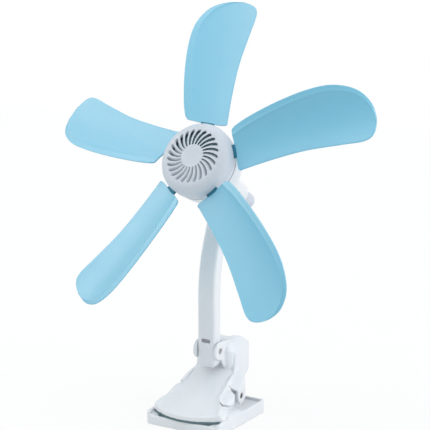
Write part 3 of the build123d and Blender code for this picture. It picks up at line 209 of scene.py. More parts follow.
# ---------------------------------------------------------------- mesh helpers
CREASE = 35.0              # degrees between two faces from which their edge is drawn sharp
ROUND_CREASE = 50.0        # the same for pieces with rounded edges
SKIN_CREASE = 80.0         # the same for the clip's soft mouldings


def add_piece(name, mesh, body, slot, place, finish=None):
    """Object from a mesh: placed, with its slot's finish or one of its own, riding on a body."""
    mesh.transform(place)
    piece = bpy.data.objects.new(name, mesh)
    bpy.context.collection.objects.link(piece)
    mesh.materials.append(materials[finish or slot])
    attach(piece, body)
    return piece


def mesh_from(name, form):
    """Mesh of a finished form, which is freed."""
    mesh = bpy.data.meshes.new(name)
    form.to_mesh(mesh)
    form.free()
    return mesh


def finish_mesh(mesh, crease=CREASE):
    """Outward faces, smooth shading, and sharp edges where faces meet at more than an angle."""
    form = bmesh.new()
    form.from_mesh(mesh)
    bmesh.ops.recalc_face_normals(form, faces=form.faces)
    form.to_mesh(mesh)
    form.free()
    mesh.polygons.foreach_set("use_smooth", [True] * len(mesh.polygons))
    mesh.set_sharp_from_angle(angle=math.radians(crease))


def modified(mesh, *steps):
    """Mesh that a chain of modifiers, each a kind and its settings, makes of another."""
    carrier = bpy.data.objects.new(mesh.name, mesh)
    bpy.context.collection.objects.link(carrier)
    for kind, settings in steps:
        modifier = carrier.modifiers.new(kind, kind)
        for key, value in settings.items():
            setattr(modifier, key, value)
    graph = bpy.context.evaluated_depsgraph_get()
    result = bpy.data.meshes.new_from_object(carrier.evaluated_get(graph))
    bpy.data.objects.remove(carrier)
    return result


def face_between(form, low, high, k):
    """Face between two closed rows after their point k; a row may be a single point."""
    after = k + 1
    corners = (low[k % len(low)], low[after % len(low)], high[after % len(high)],
               high[k % len(high)])
    form.faces.new(list(dict.fromkeys(corners)))


def loft_into(form, outlines):
    """Closed body through outlines with as many corners each, added to a form."""
    rows = [[form.verts.new(corner) for corner in outline] for outline in outlines]
    for low, high in zip(rows, rows[1:]):
        for k in range(len(low)):
            face_between(form, low, high, k)
    form.faces.new(rows[0])
    form.faces.new(rows[-1])


def ring_at(form, along, radius, angles):
    """Vertices round the motor axis at some angles, or one on the axis if there is no radius."""
    if radius == 0:
        return [form.verts.new((0, along, 0))]
    return [form.verts.new((radius * math.cos(angle), along, radius * math.sin(angle)))
            for angle in angles]


def turned_mesh(name, outline, count=96):
    """Surface of revolution about the motor axis through (along, radius) points."""
    form = bmesh.new()
    angles = [2 * math.pi * k / count for k in range(count)]
    rows = [ring_at(form, along, radius, angles) for along, radius in outline]
    for low, high in zip(rows, rows[1:]):
        for k in range(count):
            face_between(form, low, high, k)
    mesh = mesh_from(name, form)
    finish_mesh(mesh)
    return mesh


def blend(low, high, value):
    """Smooth step from 0 at one value to 1 at another."""
    share = min(1.0, max(0.0, (value - low) / (high - low)))
    return share * share * (3 - 2 * share)


def fade(low, high, value):
    """Smooth step from 1 at one value to 0 at another."""
    return 1 - blend(low, high, value)


def round_corners(points, steps=4):
    """Outline of (along, radius, rounding) corners with each rounding drawn as an arc."""
    outline = []
    last = len(points) - 1
    for i, (along, radius, rounding) in enumerate(points):
        here = Vector((along, radius))
        if rounding == 0 or i in (0, last):
            outline.append(here)
            continue
        before = (Vector(points[i - 1][:2]) - here).normalized()
        after = (Vector(points[i + 1][:2]) - here).normalized()
        half = before.angle(after) / 2
        start = here + before * (rounding / math.tan(half))
        end = here + after * (rounding / math.tan(half))
        centre = here + (before + after).normalized() * (rounding / math.sin(half))
        outline.append(start)
        for k in range(1, steps + 1):
            outline.append(centre + (start - centre).slerp(end - centre, k / steps))
    return outline


# ---------------------------------------------------------------- rotor shell
HUB_RADIUS = 42.0
RIM_BACK = 8.5             # rear edge of the rim
RIM_PLACES = (3.0, 6.6)    # rows along the straight rim
RIM_ROUND = 0.5
RIM_LIP = 2.0              # how far the rim turns in behind
DISC_RADII = (0.0, 4.5, 9.0, 11.4, 12.4)
DOME_FRONT = -13.6         # the plain disc's face
SHOULDER_BACK = -1.0       # where the round shoulder meets the rim
SHOULDER_STEPS = 8
SHOULDER_FIRST = 2         # the steps before this one lie within the vents' ends
VENT_COUNT = 25
VENT_INNER = 13.2
VENT_OUTER = 30.0
VENT_TIP = 31.4            # ends of the vents, half as wide
VENT_RADII = (VENT_INNER, 14.2, 16.2, 18.8, 21.4, 24.0, 26.6, 28.8, VENT_OUTER, VENT_TIP)
VENT_FRONT = -12.6         # the dome's face at the vents' outer radius
VENT_SLOPE = (VENT_FRONT - DOME_FRONT) / (VENT_OUTER - VENT_INNER)
VENT_SWEEP = math.radians(13.5)            # how far a vent turns clockwise to its outer end
VENT_CURL = 1.6            # above 1, a vent turns more and more on its way out
VENT_INNER_WIDTH = 1.9
VENT_OUTER_WIDTH = 4.5
VENT_LIMIT = 0.42          # largest half width of a vent, as a share of its sector
SECTOR = 2 * math.pi / VENT_COUNT
GRILLE_DEPTH = 4.2
GRILLE_EDGE = 0.35
GRILLE_CREASE = 55.0       # degrees between two faces from which their edge is rounded
LOUVRE = 0.78              # how far a rib's inner edge leads its outer edge, for each mm of depth
LOUVRE_FADE = 3.0          # width of the rings in which the slant starts and ends
FACE_OUTLINE = ((-6.8, 0.0, 0), (-6.8, 9.0, 0.8), (-5.2, 11.0, 0.8), (-5.2, 30.0, 1.5),
                (-2.6, 34.0, 1.0), (3.0, 34.6, 0))               # along, radius and rounding


def dome_at(radius):
    """Place along the axis of the dome's slightly sloping face."""
    return DOME_FRONT + VENT_SLOPE * (radius - VENT_INNER)


def shell_rows():
    """(along, radius) of the shell's outer face, from the centre to behind its rear edge."""
    rows = [(DOME_FRONT, radius) for radius in DISC_RADII]
    rows += [(dome_at(radius), radius) for radius in VENT_RADII]
    for k in range(SHOULDER_FIRST, SHOULDER_STEPS + 1):
        turn = math.pi / 2 * k / SHOULDER_STEPS
        rows.append((SHOULDER_BACK + (VENT_FRONT - SHOULDER_BACK) * math.cos(turn),
                     VENT_OUTER + (HUB_RADIUS - VENT_OUTER) * math.sin(turn)))
    rows += [(along, HUB_RADIUS) for along in (*RIM_PLACES, RIM_BACK - RIM_ROUND)]
    rows += [(RIM_BACK, HUB_RADIUS - RIM_ROUND), (RIM_BACK, HUB_RADIUS - RIM_LIP)]
    return rows


def row_angles(radius):
    """Angles of a row's points: each vent's two edges and middle, and the middle of its rib."""
    share = min(1.0, max(0.0, (radius - VENT_INNER) / (VENT_OUTER - VENT_INNER)))
    width = VENT_INNER_WIDTH + (VENT_OUTER_WIDTH - VENT_INNER_WIDTH) * share
    if radius == VENT_TIP:
        width /= 2
    half = min(width / 2 / max(radius, 1.0), SECTOR * VENT_LIMIT)
    sweep = -VENT_SWEEP * share ** VENT_CURL
    return [i * SECTOR + offset + sweep
            for i in range(VENT_COUNT) for offset in (-half, 0.0, half, SECTOR / 2)]


def louvre(point):
    """Point of the cap turned about the motor axis by its depth, which slants the ribs."""
    x, y, z = point
    radius = math.hypot(x, z)
    depth = min(max(0.0, y - dome_at(radius)), GRILLE_DEPTH)
    inside = blend(VENT_INNER - LOUVRE_FADE, VENT_INNER, radius)
    inside *= fade(VENT_TIP, VENT_TIP + LOUVRE_FADE, radius)
    angle = LOUVRE * depth * inside / max(radius, 1.0)
    return (x * math.cos(angle) - z * math.sin(angle), y,
            z * math.cos(angle) + x * math.sin(angle))


def make_shell():
    """Domed cap: one sheet with its vents left open, thickened, edge-rounded and louvred."""
    form = bmesh.new()
    rows = [(radius, ring_at(form, along, radius, row_angles(radius)))
            for along, radius in shell_rows()]
    for (low_radius, low), (high_radius, high) in zip(rows, rows[1:]):
        vented = low_radius >= VENT_INNER and high_radius <= VENT_TIP
        for k in range(len(high)):
            if not (vented and k % 4 < 2):
                face_between(form, low, high, k)
    bmesh.ops.recalc_face_normals(form, faces=form.faces)
    mesh = modified(
        mesh_from("hub_cap", form),
        ("SUBSURF", {"levels": 1, "render_levels": 1}),
        ("SOLIDIFY", {"thickness": GRILLE_DEPTH, "offset": -1.0}),
        ("BEVEL", {"width": GRILLE_EDGE, "segments": 2, "limit_method": "ANGLE",
                   "angle_limit": math.radians(GRILLE_CREASE)}))
    for vertex in mesh.vertices:
        vertex.co = louvre(vertex.co)
    finish_mesh(mesh, ROUND_CREASE)
    # the cap is body plastic, drawn darker than the body as painted shade
    cap = add_piece("hub_cap", mesh, "rotor", "body_plastic", HEAD_MM, "cap_plastic")
    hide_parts("rotor_shell")


def make_inner_face():
    """Dished front face of the motor's rotor, seen through the vents."""
    mesh = turned_mesh("rotor_face", round_corners(FACE_OUTLINE))
    add_piece("rotor_face", mesh, "rotor", "ring_steel", HEAD_MM, "rotor_face")


# ---------------------------------------------------------------- blades
BLADES = 5
BLADE_START = 18.1         # degrees of the first blade, counterclockwise from +X from the front
BLADE_ROOT = 44.5
BLADE_TIP = 200.0
BLADE_PITCH = 17.0         # degrees at the root
BLADE_TWIST = -8.9         # degrees gained from root to tip
BLADE_CAMBER = 3.8
CAMBER_SPAN = 27.0         # half chord at which the camber has run out
BLADE_DROOP = 12.5         # how far behind the root the tip lies
BLADE_CORNER = 4.0         # rounding of the root's corners
BLADE_THICK = 2.0
BLADE_STATIONS = 64
STATION_CROWD = 1.5        # above 1, the stations lie closer towards the tip
# (radius, chord) of both edges, and the point beyond the tip that each is heading for
LEADING_EDGE = ((BLADE_ROOT, 25.5), (66, 33.5), (100, 42.0), (135, 47.3), (163, 46.8),
                (186, 37.5), (198, 21.0), (BLADE_TIP, 3.0))
LEADING_BEYOND = (197, -9)
TRAILING_EDGE = ((BLADE_ROOT, -22.5), (80, -18.0), (120, -15.2), (160, -17.0), (184, -18.2),
                 (195, -12.5), (BLADE_TIP, 3.0))
TRAILING_BEYOND = (198, 21)
EDGE_ROUND = 1.0           # depth over which an edge is rounded
EDGE_DEPTHS = (0.0, 0.35, 1.0, 2.2)                               # rows along each edge
FOLD_WIDTH = 7.5           # strip along the leading edge that is folded back, at the root
FOLD_NARROW = 0.55         # how much of its width it loses towards the tip
FOLD_SLOPE = 0.19          # how far it drops for each mm
FOLD_DEPTHS = (-0.5, 0.1, 0.8, 1.7, 3.0)                          # rows on both sides of the fold
FOLD_BEAD = 0.45           # height of the bead inside the fold
BEAD_INSET = 0.8           # how far inside the fold the bead's top lies
BEAD_WIDTH = 0.9
LEADING_LIMIT = 0.45       # share of the width that the leading edge's rows may take
TRAILING_LIMIT = 0.4       # the same for the trailing edge's rows
TRAILING_CLEAR = 2.4       # width that the middle rows leave to them
MIDDLE_ROWS = 8
NARROWEST = 12.0           # width under which the middle rows fall together
STEM_RINGS = ((37.0, 1.0, 1.0), (HUB_RADIUS, 1.0, 1.0), (44.8, 1.0, 1.0),
              (45.5, 0.9125, 0.65))        # radius, and the shares of the width and thickness
STEM_SECTION = ((7.0, 1.6), (7.5, 1.1), (7.5, -1.1), (7.0, -1.6),
                (-7.0, -1.6), (-7.5, -1.1), (-7.5, 1.1), (-7.0, 1.6))    # chord and lift


def through(points, beyond, share):
    """Point of a smooth curve through points, at a share of the way along its chords."""
    chain = [Vector(point) for point in points]
    ends = [2 * chain[0] - chain[1]] + chain + [Vector(beyond)]
    lengths = [(b - a).length for a, b in zip(chain, chain[1:])]
    left = share * sum(lengths)
    i = 0
    while i < len(lengths) - 1 and left > lengths[i]:
        left -= lengths[i]
        i += 1
    t = left / lengths[i]
    a, b, c, d = ends[i:i + 4]
    square = (2 * a - 5 * b + 4 * c - d) * t ** 2
    cube = (3 * b - a - 3 * c + d) * t ** 3
    return 0.5 * (2 * b + (c - a) * t + square + cube)


def blade_point(radius, chord, lift):
    """Point of a blade that points along +X: chord runs counterclockwise, lift to the front."""
    share = (radius - BLADE_ROOT) / (BLADE_TIP - BLADE_ROOT)
    pitch = math.radians(BLADE_PITCH + BLADE_TWIST * share)
    bow = -BLADE_CAMBER * (1 - (chord / CAMBER_SPAN) ** 2) + lift
    up = chord * math.cos(pitch) - bow * math.sin(pitch)
    forward = chord * math.sin(pitch) + bow * math.cos(pitch)
    return (radius, BLADE_DROOP * share - forward, up)


def root_pull(chord):
    """How far the root edge is drawn outwards to round its corners."""
    near = min(LEADING_EDGE[0][1] - chord, chord - TRAILING_EDGE[0][1])
    if near >= BLADE_CORNER:
        return 0.0
    return BLADE_CORNER - math.sqrt(max(0.0, BLADE_CORNER ** 2 - (BLADE_CORNER - near) ** 2))


def fold(across, width):
    """Lift of the blade's face at a distance in from its leading edge, with a bead at the fold."""
    bead = FOLD_BEAD * math.exp(-((across - width - BEAD_INSET) / BEAD_WIDTH) ** 2)
    return bead - FOLD_SLOPE * max(0.0, width - across)


def rows_across(width, folded):
    """Shares of a blade's width at which its points lie; rows without room meet in the middle."""
    depths = EDGE_DEPTHS + tuple(folded + past for past in FOLD_DEPTHS)
    lead = [depth / width for depth in depths if depth < width * LEADING_LIMIT]
    lead += [0.5] * (len(depths) - len(lead))
    middle = [0.5] * MIDDLE_ROWS
    if width > NARROWEST:
        gap = 1 - lead[-1] - TRAILING_CLEAR / width
        middle = [lead[-1] + gap * k / (MIDDLE_ROWS + 1) for k in range(1, MIDDLE_ROWS + 1)]
    trail = [1 - depth / width if depth < width * TRAILING_LIMIT else 0.5
             for depth in reversed(EDGE_DEPTHS)]
    return lead + middle + trail


def blade_mesh(name):
    """Twisted, cambered sheet with round edges and a folded leading edge, front and back."""
    form = bmesh.new()
    roots = []
    for side in (1, -1):
        grid = []
        for i in range(BLADE_STATIONS + 1):
            share = 1 - (1 - i / BLADE_STATIONS) ** STATION_CROWD
            lead = through(LEADING_EDGE, LEADING_BEYOND, share)
            trail = through(TRAILING_EDGE, TRAILING_BEYOND, share)
            width = (lead - trail).length
            folded = FOLD_WIDTH * (1 - FOLD_NARROW * i / BLADE_STATIONS)
            row = []
            for across in rows_across(width, folded):
                radius, chord = lead.lerp(trail, across)
                if i == 0:
                    radius = BLADE_ROOT + root_pull(chord)
                inward = 1 - min(1.0, min(across, 1 - across) * width / EDGE_ROUND)
                half = BLADE_THICK / 2 * math.sqrt(max(0.0, 1 - inward ** 2))
                lift = side * half + fold(across * width, folded)
                row.append(form.verts.new(blade_point(radius, chord, lift)))
            grid.append(row)
        roots.append(grid[0])
        for low, high in zip(grid, grid[1:]):
            for k in range(len(low) - 1):
                form.faces.new([low[k], low[k + 1], high[k + 1], high[k]])
    front, back = roots
    for k in range(len(front) - 1):
        form.faces.new([front[k], front[k + 1], back[k + 1], back[k]])
    bmesh.ops.remove_doubles(form, verts=form.verts, dist=0.02)
    bmesh.ops.dissolve_degenerate(form, edges=form.edges, dist=0.01)
    mesh = mesh_from(name, form)
    finish_mesh(mesh, ROUND_CREASE)
    return mesh


def stem_mesh(name):
    """Flat stem that carries a blade, from inside the shell to just over the blade's root."""
    outlines = []
    for radius, wide, thick in STEM_RINGS:
        outline = []
        for chord, lift in STEM_SECTION:
            # cancels the camber, so that the stem is flat at the depth of the blade's middle
            flat = BLADE_CAMBER * (1 - (chord / CAMBER_SPAN) ** 2) - BLADE_CAMBER
            outline.append(blade_point(radius, chord * wide, flat + lift * thick))
        outlines.append(outline)
    form = bmesh.new()
    loft_into(form, outlines)
    mesh = mesh_from(name, form)
    finish_mesh(mesh, ROUND_CREASE)
    return mesh


def make_blades():
    """Five blades round the shell in place of their solids, each with a stem in painted shade."""
    for i in range(BLADES):
        turn = math.radians(BLADE_START + i * 360 / BLADES)
        place = HEAD_MM @ Matrix.Rotation(-turn, 4, "Y")
        name = "blade_skin_" + str(i + 1)
        piece = add_piece(name, blade_mesh(name), "rotor", "blade_plastic", place)
        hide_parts("blade_" + str(i + 1))
        name = "blade_stem_" + str(i + 1)
        # the stem is blade plastic; its dark teal finish is painted shade of its socket
        add_piece(name, stem_mesh(name), "rotor", "blade_plastic", place, "root_shade")


# ---------------------------------------------------------------- bell
BELL_RADIUS = 40.3
BELL_SEAM = 39.9           # radius of the groove behind the front bead
BELL_FRONT = 9.4
BELL_SHOULDER = 22.0       # where the straight band ends
BELL_NECK = 18.2           # radius at which the shoulder ends, round the nacelle
BELL_DEPTH = 24.0          # length of the shoulder
BELL_FULLNESS = 0.86       # below 1, the shoulder is fuller than a quarter of an ellipse
BELL_STEPS = 10
BELL_BAND = ((BELL_FRONT, 38.6, 0), (BELL_FRONT, BELL_RADIUS, 0.5), (12.2, BELL_RADIUS, 0.3),
             (12.6, BELL_SEAM, 0.2), (13.4, BELL_SEAM, 0.2), (13.8, BELL_RADIUS, 0.3),
             (BELL_SHOULDER, BELL_RADIUS, 0))                    # along, radius and rounding
BELL_TAIL = ((46.0, 17.6, 0), (45.8, 14.0, 0), (56.0, 14.0, 0))   # hidden inside the nacelle


def make_bell():
    """Fixed bell behind the turning shell: front bead, straight band and round shoulder."""
    outline = list(BELL_BAND)
    for k in range(1, BELL_STEPS):
        turn = math.pi / 2 * k / BELL_STEPS
        rise = (BELL_RADIUS - BELL_NECK) * math.cos(turn) ** BELL_FULLNESS
        outline.append((BELL_SHOULDER + BELL_DEPTH * math.sin(turn), BELL_NECK + rise, 0))
    outline.append((BELL_SHOULDER + BELL_DEPTH, BELL_NECK, 0))
    outline += BELL_TAIL
    mesh = turned_mesh("bell_skin", round_corners(outline), count=120)
    bell = add_piece("bell_skin", mesh, "head", "body_plastic", HEAD_MM)
    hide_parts("bell_cover")


# ---------------------------------------------------------------- clip: what both jaws share
# Spans are pairs of places, in mm, between which a change sets in or fades out. Spans across are
# measured from the middle of the part, and the others run along y or z as their comments say.
def prism_into(form, near, far, outline):
    """Closed prism between two places across the part, with an outline of (y, z) corners."""
    loft_into(form, [[(x, y, z) for y, z in outline] for x in (near, far)])


def soft_skin(name, node, body, shape, fill, voxel, rounds, keep):
    """Moulded skin over a solid: its filled-out form, softened and reshaped point by point."""
    source = bpy.data.objects[node]
    form = bmesh.new()
    form.from_mesh(source.data)
    form.transform(CLIP_MM.inverted() @ source.matrix_world)
    fill(form)
    bmesh.ops.recalc_face_normals(form, faces=form.faces)
    mesh = modified(mesh_from(name, form), ("REMESH", {"mode": "VOXEL", "voxel_size": voxel}))
    for vertex in mesh.vertices:
        vertex.co = shape(vertex.co)
    skin = modified(mesh, ("SMOOTH", {"factor": 0.5, "iterations": rounds}),
                    ("DECIMATE", {"ratio": keep}))
    finish_mesh(skin, SKIN_CREASE)
    return add_piece(name, skin, body, "body_plastic", CLIP_MM)


# ---------------------------------------------------------------- clip: upper jaw
APRON = ((-53.0, 39.5, 15.5), (-34.0, 35.0, 24.0), (-15.0, 29.5, 31.0), (5.0, 27.5, 39.5),
         (20.5, 26.5, 47.0), (34.0, 25.5, 55.0))   # y, half width and height of its two ridges
RIDGE_BEAD = 3.2           # height of the bead along each ridge
RIDGE_INSET = 0.6          # how far inside the ridge the bead runs
RIDGE_WIDTH = 2.0
RIDGE_BELOW = 6            # depth under the ridges within which points belong to the beads
RIDGE_START = (-52, -44)   # y
RIDGE_END = (14, 26)       # y
SIDE_LEAN = 3.5            # how far the side walls stand out below the ridges
LEAN_DROP = 9              # depth under the ridges at which they stand out fully
LEAN_ACROSS = 4            # width inside the ridges in which the lean sets in
LEAN_END = (-10, 12)       # y
LIP_Z = 12.3               # underside of the lip
LIP_SOLID_HALF = 40.6      # half width of the solid's lip
LIP_WIDEN = 0.105          # share by which the moulded lip is wider than the solid's
LIP_SWEEP = 8.0            # how much farther back its ends are
LIP_END = (-40, -12)       # y
LIP_LIFT = 0.8             # how far the lip's underside is raised
LIFT_UP = (LIP_Z + 0.5, LIP_Z + 5)         # z
LIFT_END = (-36, -30)      # y
HOOD_GROOVE = 4.6          # depth of the groove down the middle of the hood's top
GROOVE_ACROSS = (2, 20)
HOOD_SHOULDER = 2.5        # how far the top's sides fall away
SHOULDER_ACROSS = (16, 25)
HOOD_TOP = (64, 84)        # z
CORNER_INNER = 13.0        # place across of the filling's inner side
CORNER_BACK = 36.0         # y of its back
CORNER_DEEPEST = 35.5      # y up to which its rounded face may reach
CORNER_ROWS = ((44.0, 23.5, 24.6), (52.0, 21.5, 25.0), (60.0, 19.5, 25.0), (75.0, 19.0, 24.2),
               (80.0, 20.5, 22.0), (84.0, 23.0, 18.6),
               (86.5, 27.0, 16.0))         # z, y of the front and place across of the outside
CORNER_ARC = ((0.0, 0.0), (0.25, 0.3), (0.5, 1.6), (0.75, 4.4), (0.92, 8.0),
              (1.0, 12.0))                 # share of the way out, and how far behind the front


def ridge_at(y):
    """Half width and height of the apron's ridges at a place along the jaw."""
    for (y0, half0, z0), (y1, half1, z1) in zip(APRON, APRON[1:]):
        if y <= y1:
            share = max(0.0, (y - y0) / (y1 - y0))
            return half0 + (half1 - half0) * share, z0 + (z1 - z0) * share
    return APRON[-1][1], APRON[-1][2]


def hood_corners(form):
    """Rounded filling between each hinge ear and the hood's side."""
    for side in (-1, 1):
        outlines = []
        for z, front, outer in CORNER_ROWS:
            outline = [(CORNER_INNER, CORNER_BACK)]
            for share, back in CORNER_ARC:
                outline.append((CORNER_INNER + (outer - CORNER_INNER) * share,
                                min(front + back, CORNER_DEEPEST)))
            outline.append((outer, CORNER_BACK))
            outlines.append([(side * x, y, z) for x, y in outline])
        loft_into(form, outlines)


def jaw_shape(point):
    """Upper jaw: bowed lip, beads along the ridges, leaning side walls and a grooved hood."""
    x, y, z = point
    half, height = ridge_at(y)
    reach = abs(x)
    if y < RIDGE_END[1] and z > height - RIDGE_BELOW:
        bead = RIDGE_BEAD * math.exp(-((reach - half + RIDGE_INSET) / RIDGE_WIDTH) ** 2)
        z += bead * fade(*RIDGE_END, y) * blend(*RIDGE_START, y)
    lean = fade(height - LEAN_DROP, height, z) * blend(half - LEAN_ACROSS, half, reach)
    lean *= fade(*LEAN_END, y)
    front = fade(*LIP_END, y)
    x += math.copysign(lean * SIDE_LEAN * (1 - front), x)
    y += front * LIP_SWEEP * (x / LIP_SOLID_HALF) ** 2
    x *= 1 + LIP_WIDEN * front
    z += LIP_LIFT * fade(*LIFT_UP, z) * fade(*LIFT_END, y)
    groove = HOOD_GROOVE * fade(*GROOVE_ACROSS, reach)
    shoulder = HOOD_SHOULDER * blend(*SHOULDER_ACROSS, reach)
    return x, y, z - (groove + shoulder) * blend(*HOOD_TOP, z)


def make_jaw_skin():
    """Upper jaw as one soft moulding."""
    skin = soft_skin("jaw_skin", "upper_jaw", "upper_clip", jaw_shape, hood_corners,
                     voxel=0.8, rounds=6, keep=0.4)
    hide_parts("upper_jaw")


# ---------------------------------------------------------------- clip: lower jaw
TRAY_FLOOR = 10.0          # z from which the banks and webs stand up
TRAY_WIDEN = 2.6           # how far the tray's sides are drawn out
WIDEN_ACROSS = (39.5, 43)
TRAY_LENGTHEN = 1.5        # how far its rear is drawn back
LENGTHEN_BACK = (40, 50)   # y
TRAY_DIP = 1.0             # how far its front edge is lowered under the lip
DIP_END = (-46, -36)       # y
DIP_UP = (7, 10)           # z
DIP_ACROSS = (42, 46)
WALL_HALF = 45.0           # half width of the tray's walls at the front
WALL_SPREAD = 2.4          # how much farther out they are at the rear of their span
WALL_SPAN = (-44, 10)      # y
BANK_ROWS = ((-27.5, 15.4, 22.8), (-20.0, 15.4, 22.2), (-3.2, 15.2, 20.0),
             (10.0, 14.8, 15.2))           # y, and the bank's height outside and inside
BANK_INNER = 36.0          # place across of its inner side
BANK_CREST = 37.4          # place across of its highest edge
BANK_EDGE = 0.8            # chamfer of its outer edge
WEB_INNER = 29.8
WEB_OUTER = 31.0
WEB_OUTLINE = ((-8.0, TRAY_FLOOR), (14.0, TRAY_FLOOR), (14.0, 39.0), (5.0, 35.6), (-8.0, 29.2))


def cheek_banks(form):
    """Cheeks carried out flush with the tray's walls, and a web beside each pivot ear."""
    for side in (-1, 1):
        outlines = []
        for y, outer_top, inner_top in BANK_ROWS:
            wall = WALL_HALF + WALL_SPREAD * (y - WALL_SPAN[0]) / (WALL_SPAN[1] - WALL_SPAN[0])
            outline = ((BANK_INNER, TRAY_FLOOR), (wall, TRAY_FLOOR), (wall, outer_top - BANK_EDGE),
                       (wall - BANK_EDGE, outer_top), (BANK_CREST, inner_top))
            outlines.append([(side * x, y, z) for x, z in outline])
        loft_into(form, outlines)
        prism_into(form, side * WEB_INNER, side * WEB_OUTER, WEB_OUTLINE)


def tray_shape(point):
    """Lower jaw: sides and rear drawn out a little, and the front lowered under the lip."""
    x, y, z = point
    reach = abs(x)
    z -= TRAY_DIP * fade(*DIP_END, y) * blend(*DIP_UP, z) * fade(*DIP_ACROSS, reach)
    x += math.copysign(TRAY_WIDEN * blend(*WIDEN_ACROSS, reach), x)
    return x, y + TRAY_LENGTHEN * blend(*LENGTHEN_BACK, y), z


def make_tray_skin():
    """Lower jaw as one soft moulding."""
    skin = soft_skin("tray_skin", "lower_jaw", "lower_clip", tray_shape, cheek_banks,
                     voxel=0.9, rounds=4, keep=0.35)
    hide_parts("lower_jaw")


# ---------------------------------------------------------------- strip, shade plate and spring
GASKET_FRONT = -53.0       # y of the lip's front, in its middle
GASKET_HALF = 44.8         # half width of the moulded lip
GASKET_BOW = 16.0          # how far the lip's ends lie behind its middle
GASKET_SHARE = 0.97        # how much of the lip's width has the dark strip
GASKET_INSET = 0.5
GASKET_STEPS = 48
GASKET_SECTION = ((0.0, 1.5), (0.0, -1.2), (0.6, -1.8), (3.0, -1.8),
                  (3.0, 1.5))              # behind the strip's front, above the lip's underside
SHADE_PLATE_HALF = 8.5
SHADE_PLATE_OUTLINE = ((5.2, 84.7), (6.0, 84.7), (6.0, 93.7), (5.2, 93.7))         # y and z
SHADE_PLATE_BEVEL = 0.2


def make_lip_gasket_shadow():
    """Dark strip under the bowed lip, seen as the line between the jaws: pad edge and painted shadow."""
    radius = (GASKET_HALF ** 2 + GASKET_BOW ** 2) / (2 * GASKET_BOW)
    outlines = []
    for k in range(GASKET_STEPS + 1):
        x = GASKET_HALF * (GASKET_SHARE - 2 * GASKET_SHARE * k / GASKET_STEPS)
        front = GASKET_FRONT + radius - math.sqrt(radius ** 2 - x ** 2) + GASKET_INSET
        outlines.append([(x, front + behind, LIP_Z + above) for behind, above in GASKET_SECTION])
    form = bmesh.new()
    loft_into(form, outlines)
    mesh = mesh_from("lip_gasket", form)
    finish_mesh(mesh)
    # the dark strip is partly the grip pad's edge and partly painted shadow of the gap between the jaws
    add_piece("lip_gasket", mesh, "upper_clip", "pad_rubber", CLIP_MM)


def make_slot_shade_plate():
    """Grey plate inside the arm, seen through its oval opening: painted shade of the arm's dark inside."""
    form = bmesh.new()
    prism_into(form, -SHADE_PLATE_HALF, SHADE_PLATE_HALF, SHADE_PLATE_OUTLINE)
    bmesh.ops.bevel(form, geom=form.edges[:], offset=SHADE_PLATE_BEVEL, segments=1, affect="EDGES")
    mesh = mesh_from("slot_baffle", form)
    finish_mesh(mesh)
    add_piece("slot_baffle", mesh, "arm", "body_plastic", CLIP_MM, "baffle_grey")


def make_spring_skin():
    """Smooth-shaded copy of the clip spring's solid, in place of it."""
    source = bpy.data.objects["clip_spring"]
    mesh = source.data.copy()
    mesh.transform(source.matrix_world)
    spring = bpy.data.objects.new("spring_skin", mesh)
    bpy.context.collection.objects.link(spring)
    finish_mesh(mesh, ROUND_CREASE)
    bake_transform(spring)
    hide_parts("clip_spring")


# ---------------------------------------------------------------- stage, light and camera
FLOOR_HALF = 3.0
FLOOR_WHITE = 0.85         # how much of the floor is plain white where it is seen
WORLD_COLOUR = (0.83, 0.95, 1.0, 1)
WORLD_STRENGTH = 0.44
WHITE = (1.0, 1.0, 1.0)
ORIGIN = Vector((0, 0, 0))
SUNS = (
    ("top", (0, 0, 2), 70, 1.02, WHITE),
    ("upper_left", (-1.0, -0.78, 1.56), 45, 0.2, WHITE),
    ("left", (-1.5, -0.7, 1.1), 45, 0.54, (1.0, 0.92, 0.82)),
    ("front", (-0.3, -1.5, 1.26), 45, 0.15, WHITE),
    ("side", (1.9, 0.35, 0.6), 60, 1.53, (1.0, 0.97, 0.98)),
    ("low", (-1.6, -1.0, 0.6), 45, 0.2, WHITE),
)                          # name, place, spread in degrees, strength and colour
CAMERA_AZIMUTH = math.radians(30.0)
CAMERA_PITCH = math.radians(10.3)
CAMERA_PLACE = (0.6663, -1.1303, 0.4728)
CAMERA_LENS = 100.9
CAMERA_SENSOR = 36.0


def seen_rays(tree):
    """1 for camera, glossy and transmission rays, which show the bright backdrop, else 0."""
    ray = tree.nodes.new("ShaderNodeLightPath")
    total = ray.outputs["Is Camera Ray"]
    for name in ("Is Glossy Ray", "Is Transmission Ray"):
        join = tree.nodes.new("ShaderNodeMath")
        join.operation = "MAXIMUM"
        set_inputs(tree, join, {0: total, 1: ray.outputs[name]})
        total = join.outputs["Value"]
    return total


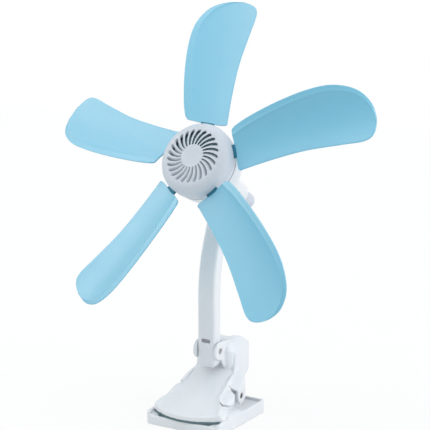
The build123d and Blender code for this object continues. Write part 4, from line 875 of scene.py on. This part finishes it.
def make_floor():
    """Wide pale floor whose shadows stay faint."""
    corners = [(x * FLOOR_HALF, y * FLOOR_HALF, 0) for x, y in ((-1, -1), (1, -1), (1, 1), (-1, 1))]
    mesh = bpy.data.meshes.new("floor")
    mesh.from_pydata(corners, [], [(0, 1, 2, 3)])
    floor = bpy.data.objects.new("floor", mesh)
    bpy.context.collection.objects.link(floor)
    material, tree, shader, add = node_material("floor_paper")
    set_inputs(tree, shader, {"Base Color": (0.9, 0.9, 0.9, 1), "Roughness": 0.9,
                              "Specular IOR Level": 0.0})
    glow = add("ShaderNodeEmission", Strength=1.0)
    share = add("ShaderNodeMath")
    share.operation = "MULTIPLY"
    set_inputs(tree, share, {0: seen_rays(tree), 1: FLOOR_WHITE})
    mix = add("ShaderNodeMixShader", Fac=share.outputs["Value"])
    set_inputs(tree, mix, {1: shader.outputs["BSDF"], 2: glow.outputs["Emission"]})
    tree.links.new(mix.outputs["Shader"], tree.nodes["Material Output"].inputs["Surface"])
    mesh.materials.append(material)


def make_world():
    """White backdrop where it is seen, plain soft light for everything else."""
    world = bpy.data.worlds.new("studio")
    bpy.context.scene.world = world
    world.use_nodes = True
    tree = world.node_tree
    light = tree.nodes["Background"]
    set_inputs(tree, light, {"Color": WORLD_COLOUR, "Strength": WORLD_STRENGTH})
    seen = tree.nodes.new("ShaderNodeBackground")
    set_inputs(tree, seen, {"Color": (*WHITE, 1), "Strength": 1.0})
    mix = tree.nodes.new("ShaderNodeMixShader")
    set_inputs(tree, mix, {"Fac": seen_rays(tree), 1: light.outputs["Background"],
                           2: seen.outputs["Background"]})
    tree.links.new(mix.outputs["Shader"], tree.nodes["World Output"].inputs["Surface"])


def make_soft_sun(name, place, spread, strength, colour):
    """Distant lamp as wide as a studio softbox, shining from its place to the origin."""
    lamp = bpy.data.lights.new(name, "SUN")
    lamp.angle = math.radians(spread)
    lamp.energy = strength
    lamp.color = colour
    sun = bpy.data.objects.new(name, lamp)
    sun.location = place
    sun.rotation_euler = (ORIGIN - sun.location).to_track_quat("-Z", "Y").to_euler()
    bpy.context.collection.objects.link(sun)


def make_camera():
    """Long lens from the front right, looking slightly down."""
    data = bpy.data.cameras.new("camera")
    data.lens = CAMERA_LENS
    data.sensor_width = CAMERA_SENSOR
    camera = bpy.data.objects.new("camera", data)
    camera.location = CAMERA_PLACE
    camera.rotation_euler = (math.pi / 2 - CAMERA_PITCH, 0, CAMERA_AZIMUTH)
    bpy.context.collection.objects.link(camera)
    bpy.context.scene.camera = camera


make_shell()
make_inner_face()
make_blades()
make_bell()
make_jaw_skin()
make_tray_skin()
make_lip_gasket_shadow()
make_slot_shade_plate()
make_spring_skin()
make_floor()
make_world()
for sun_settings in SUNS:
    make_soft_sun(*sun_settings)
make_camera()
bpy.context.scene.view_settings.view_transform = "Standard"
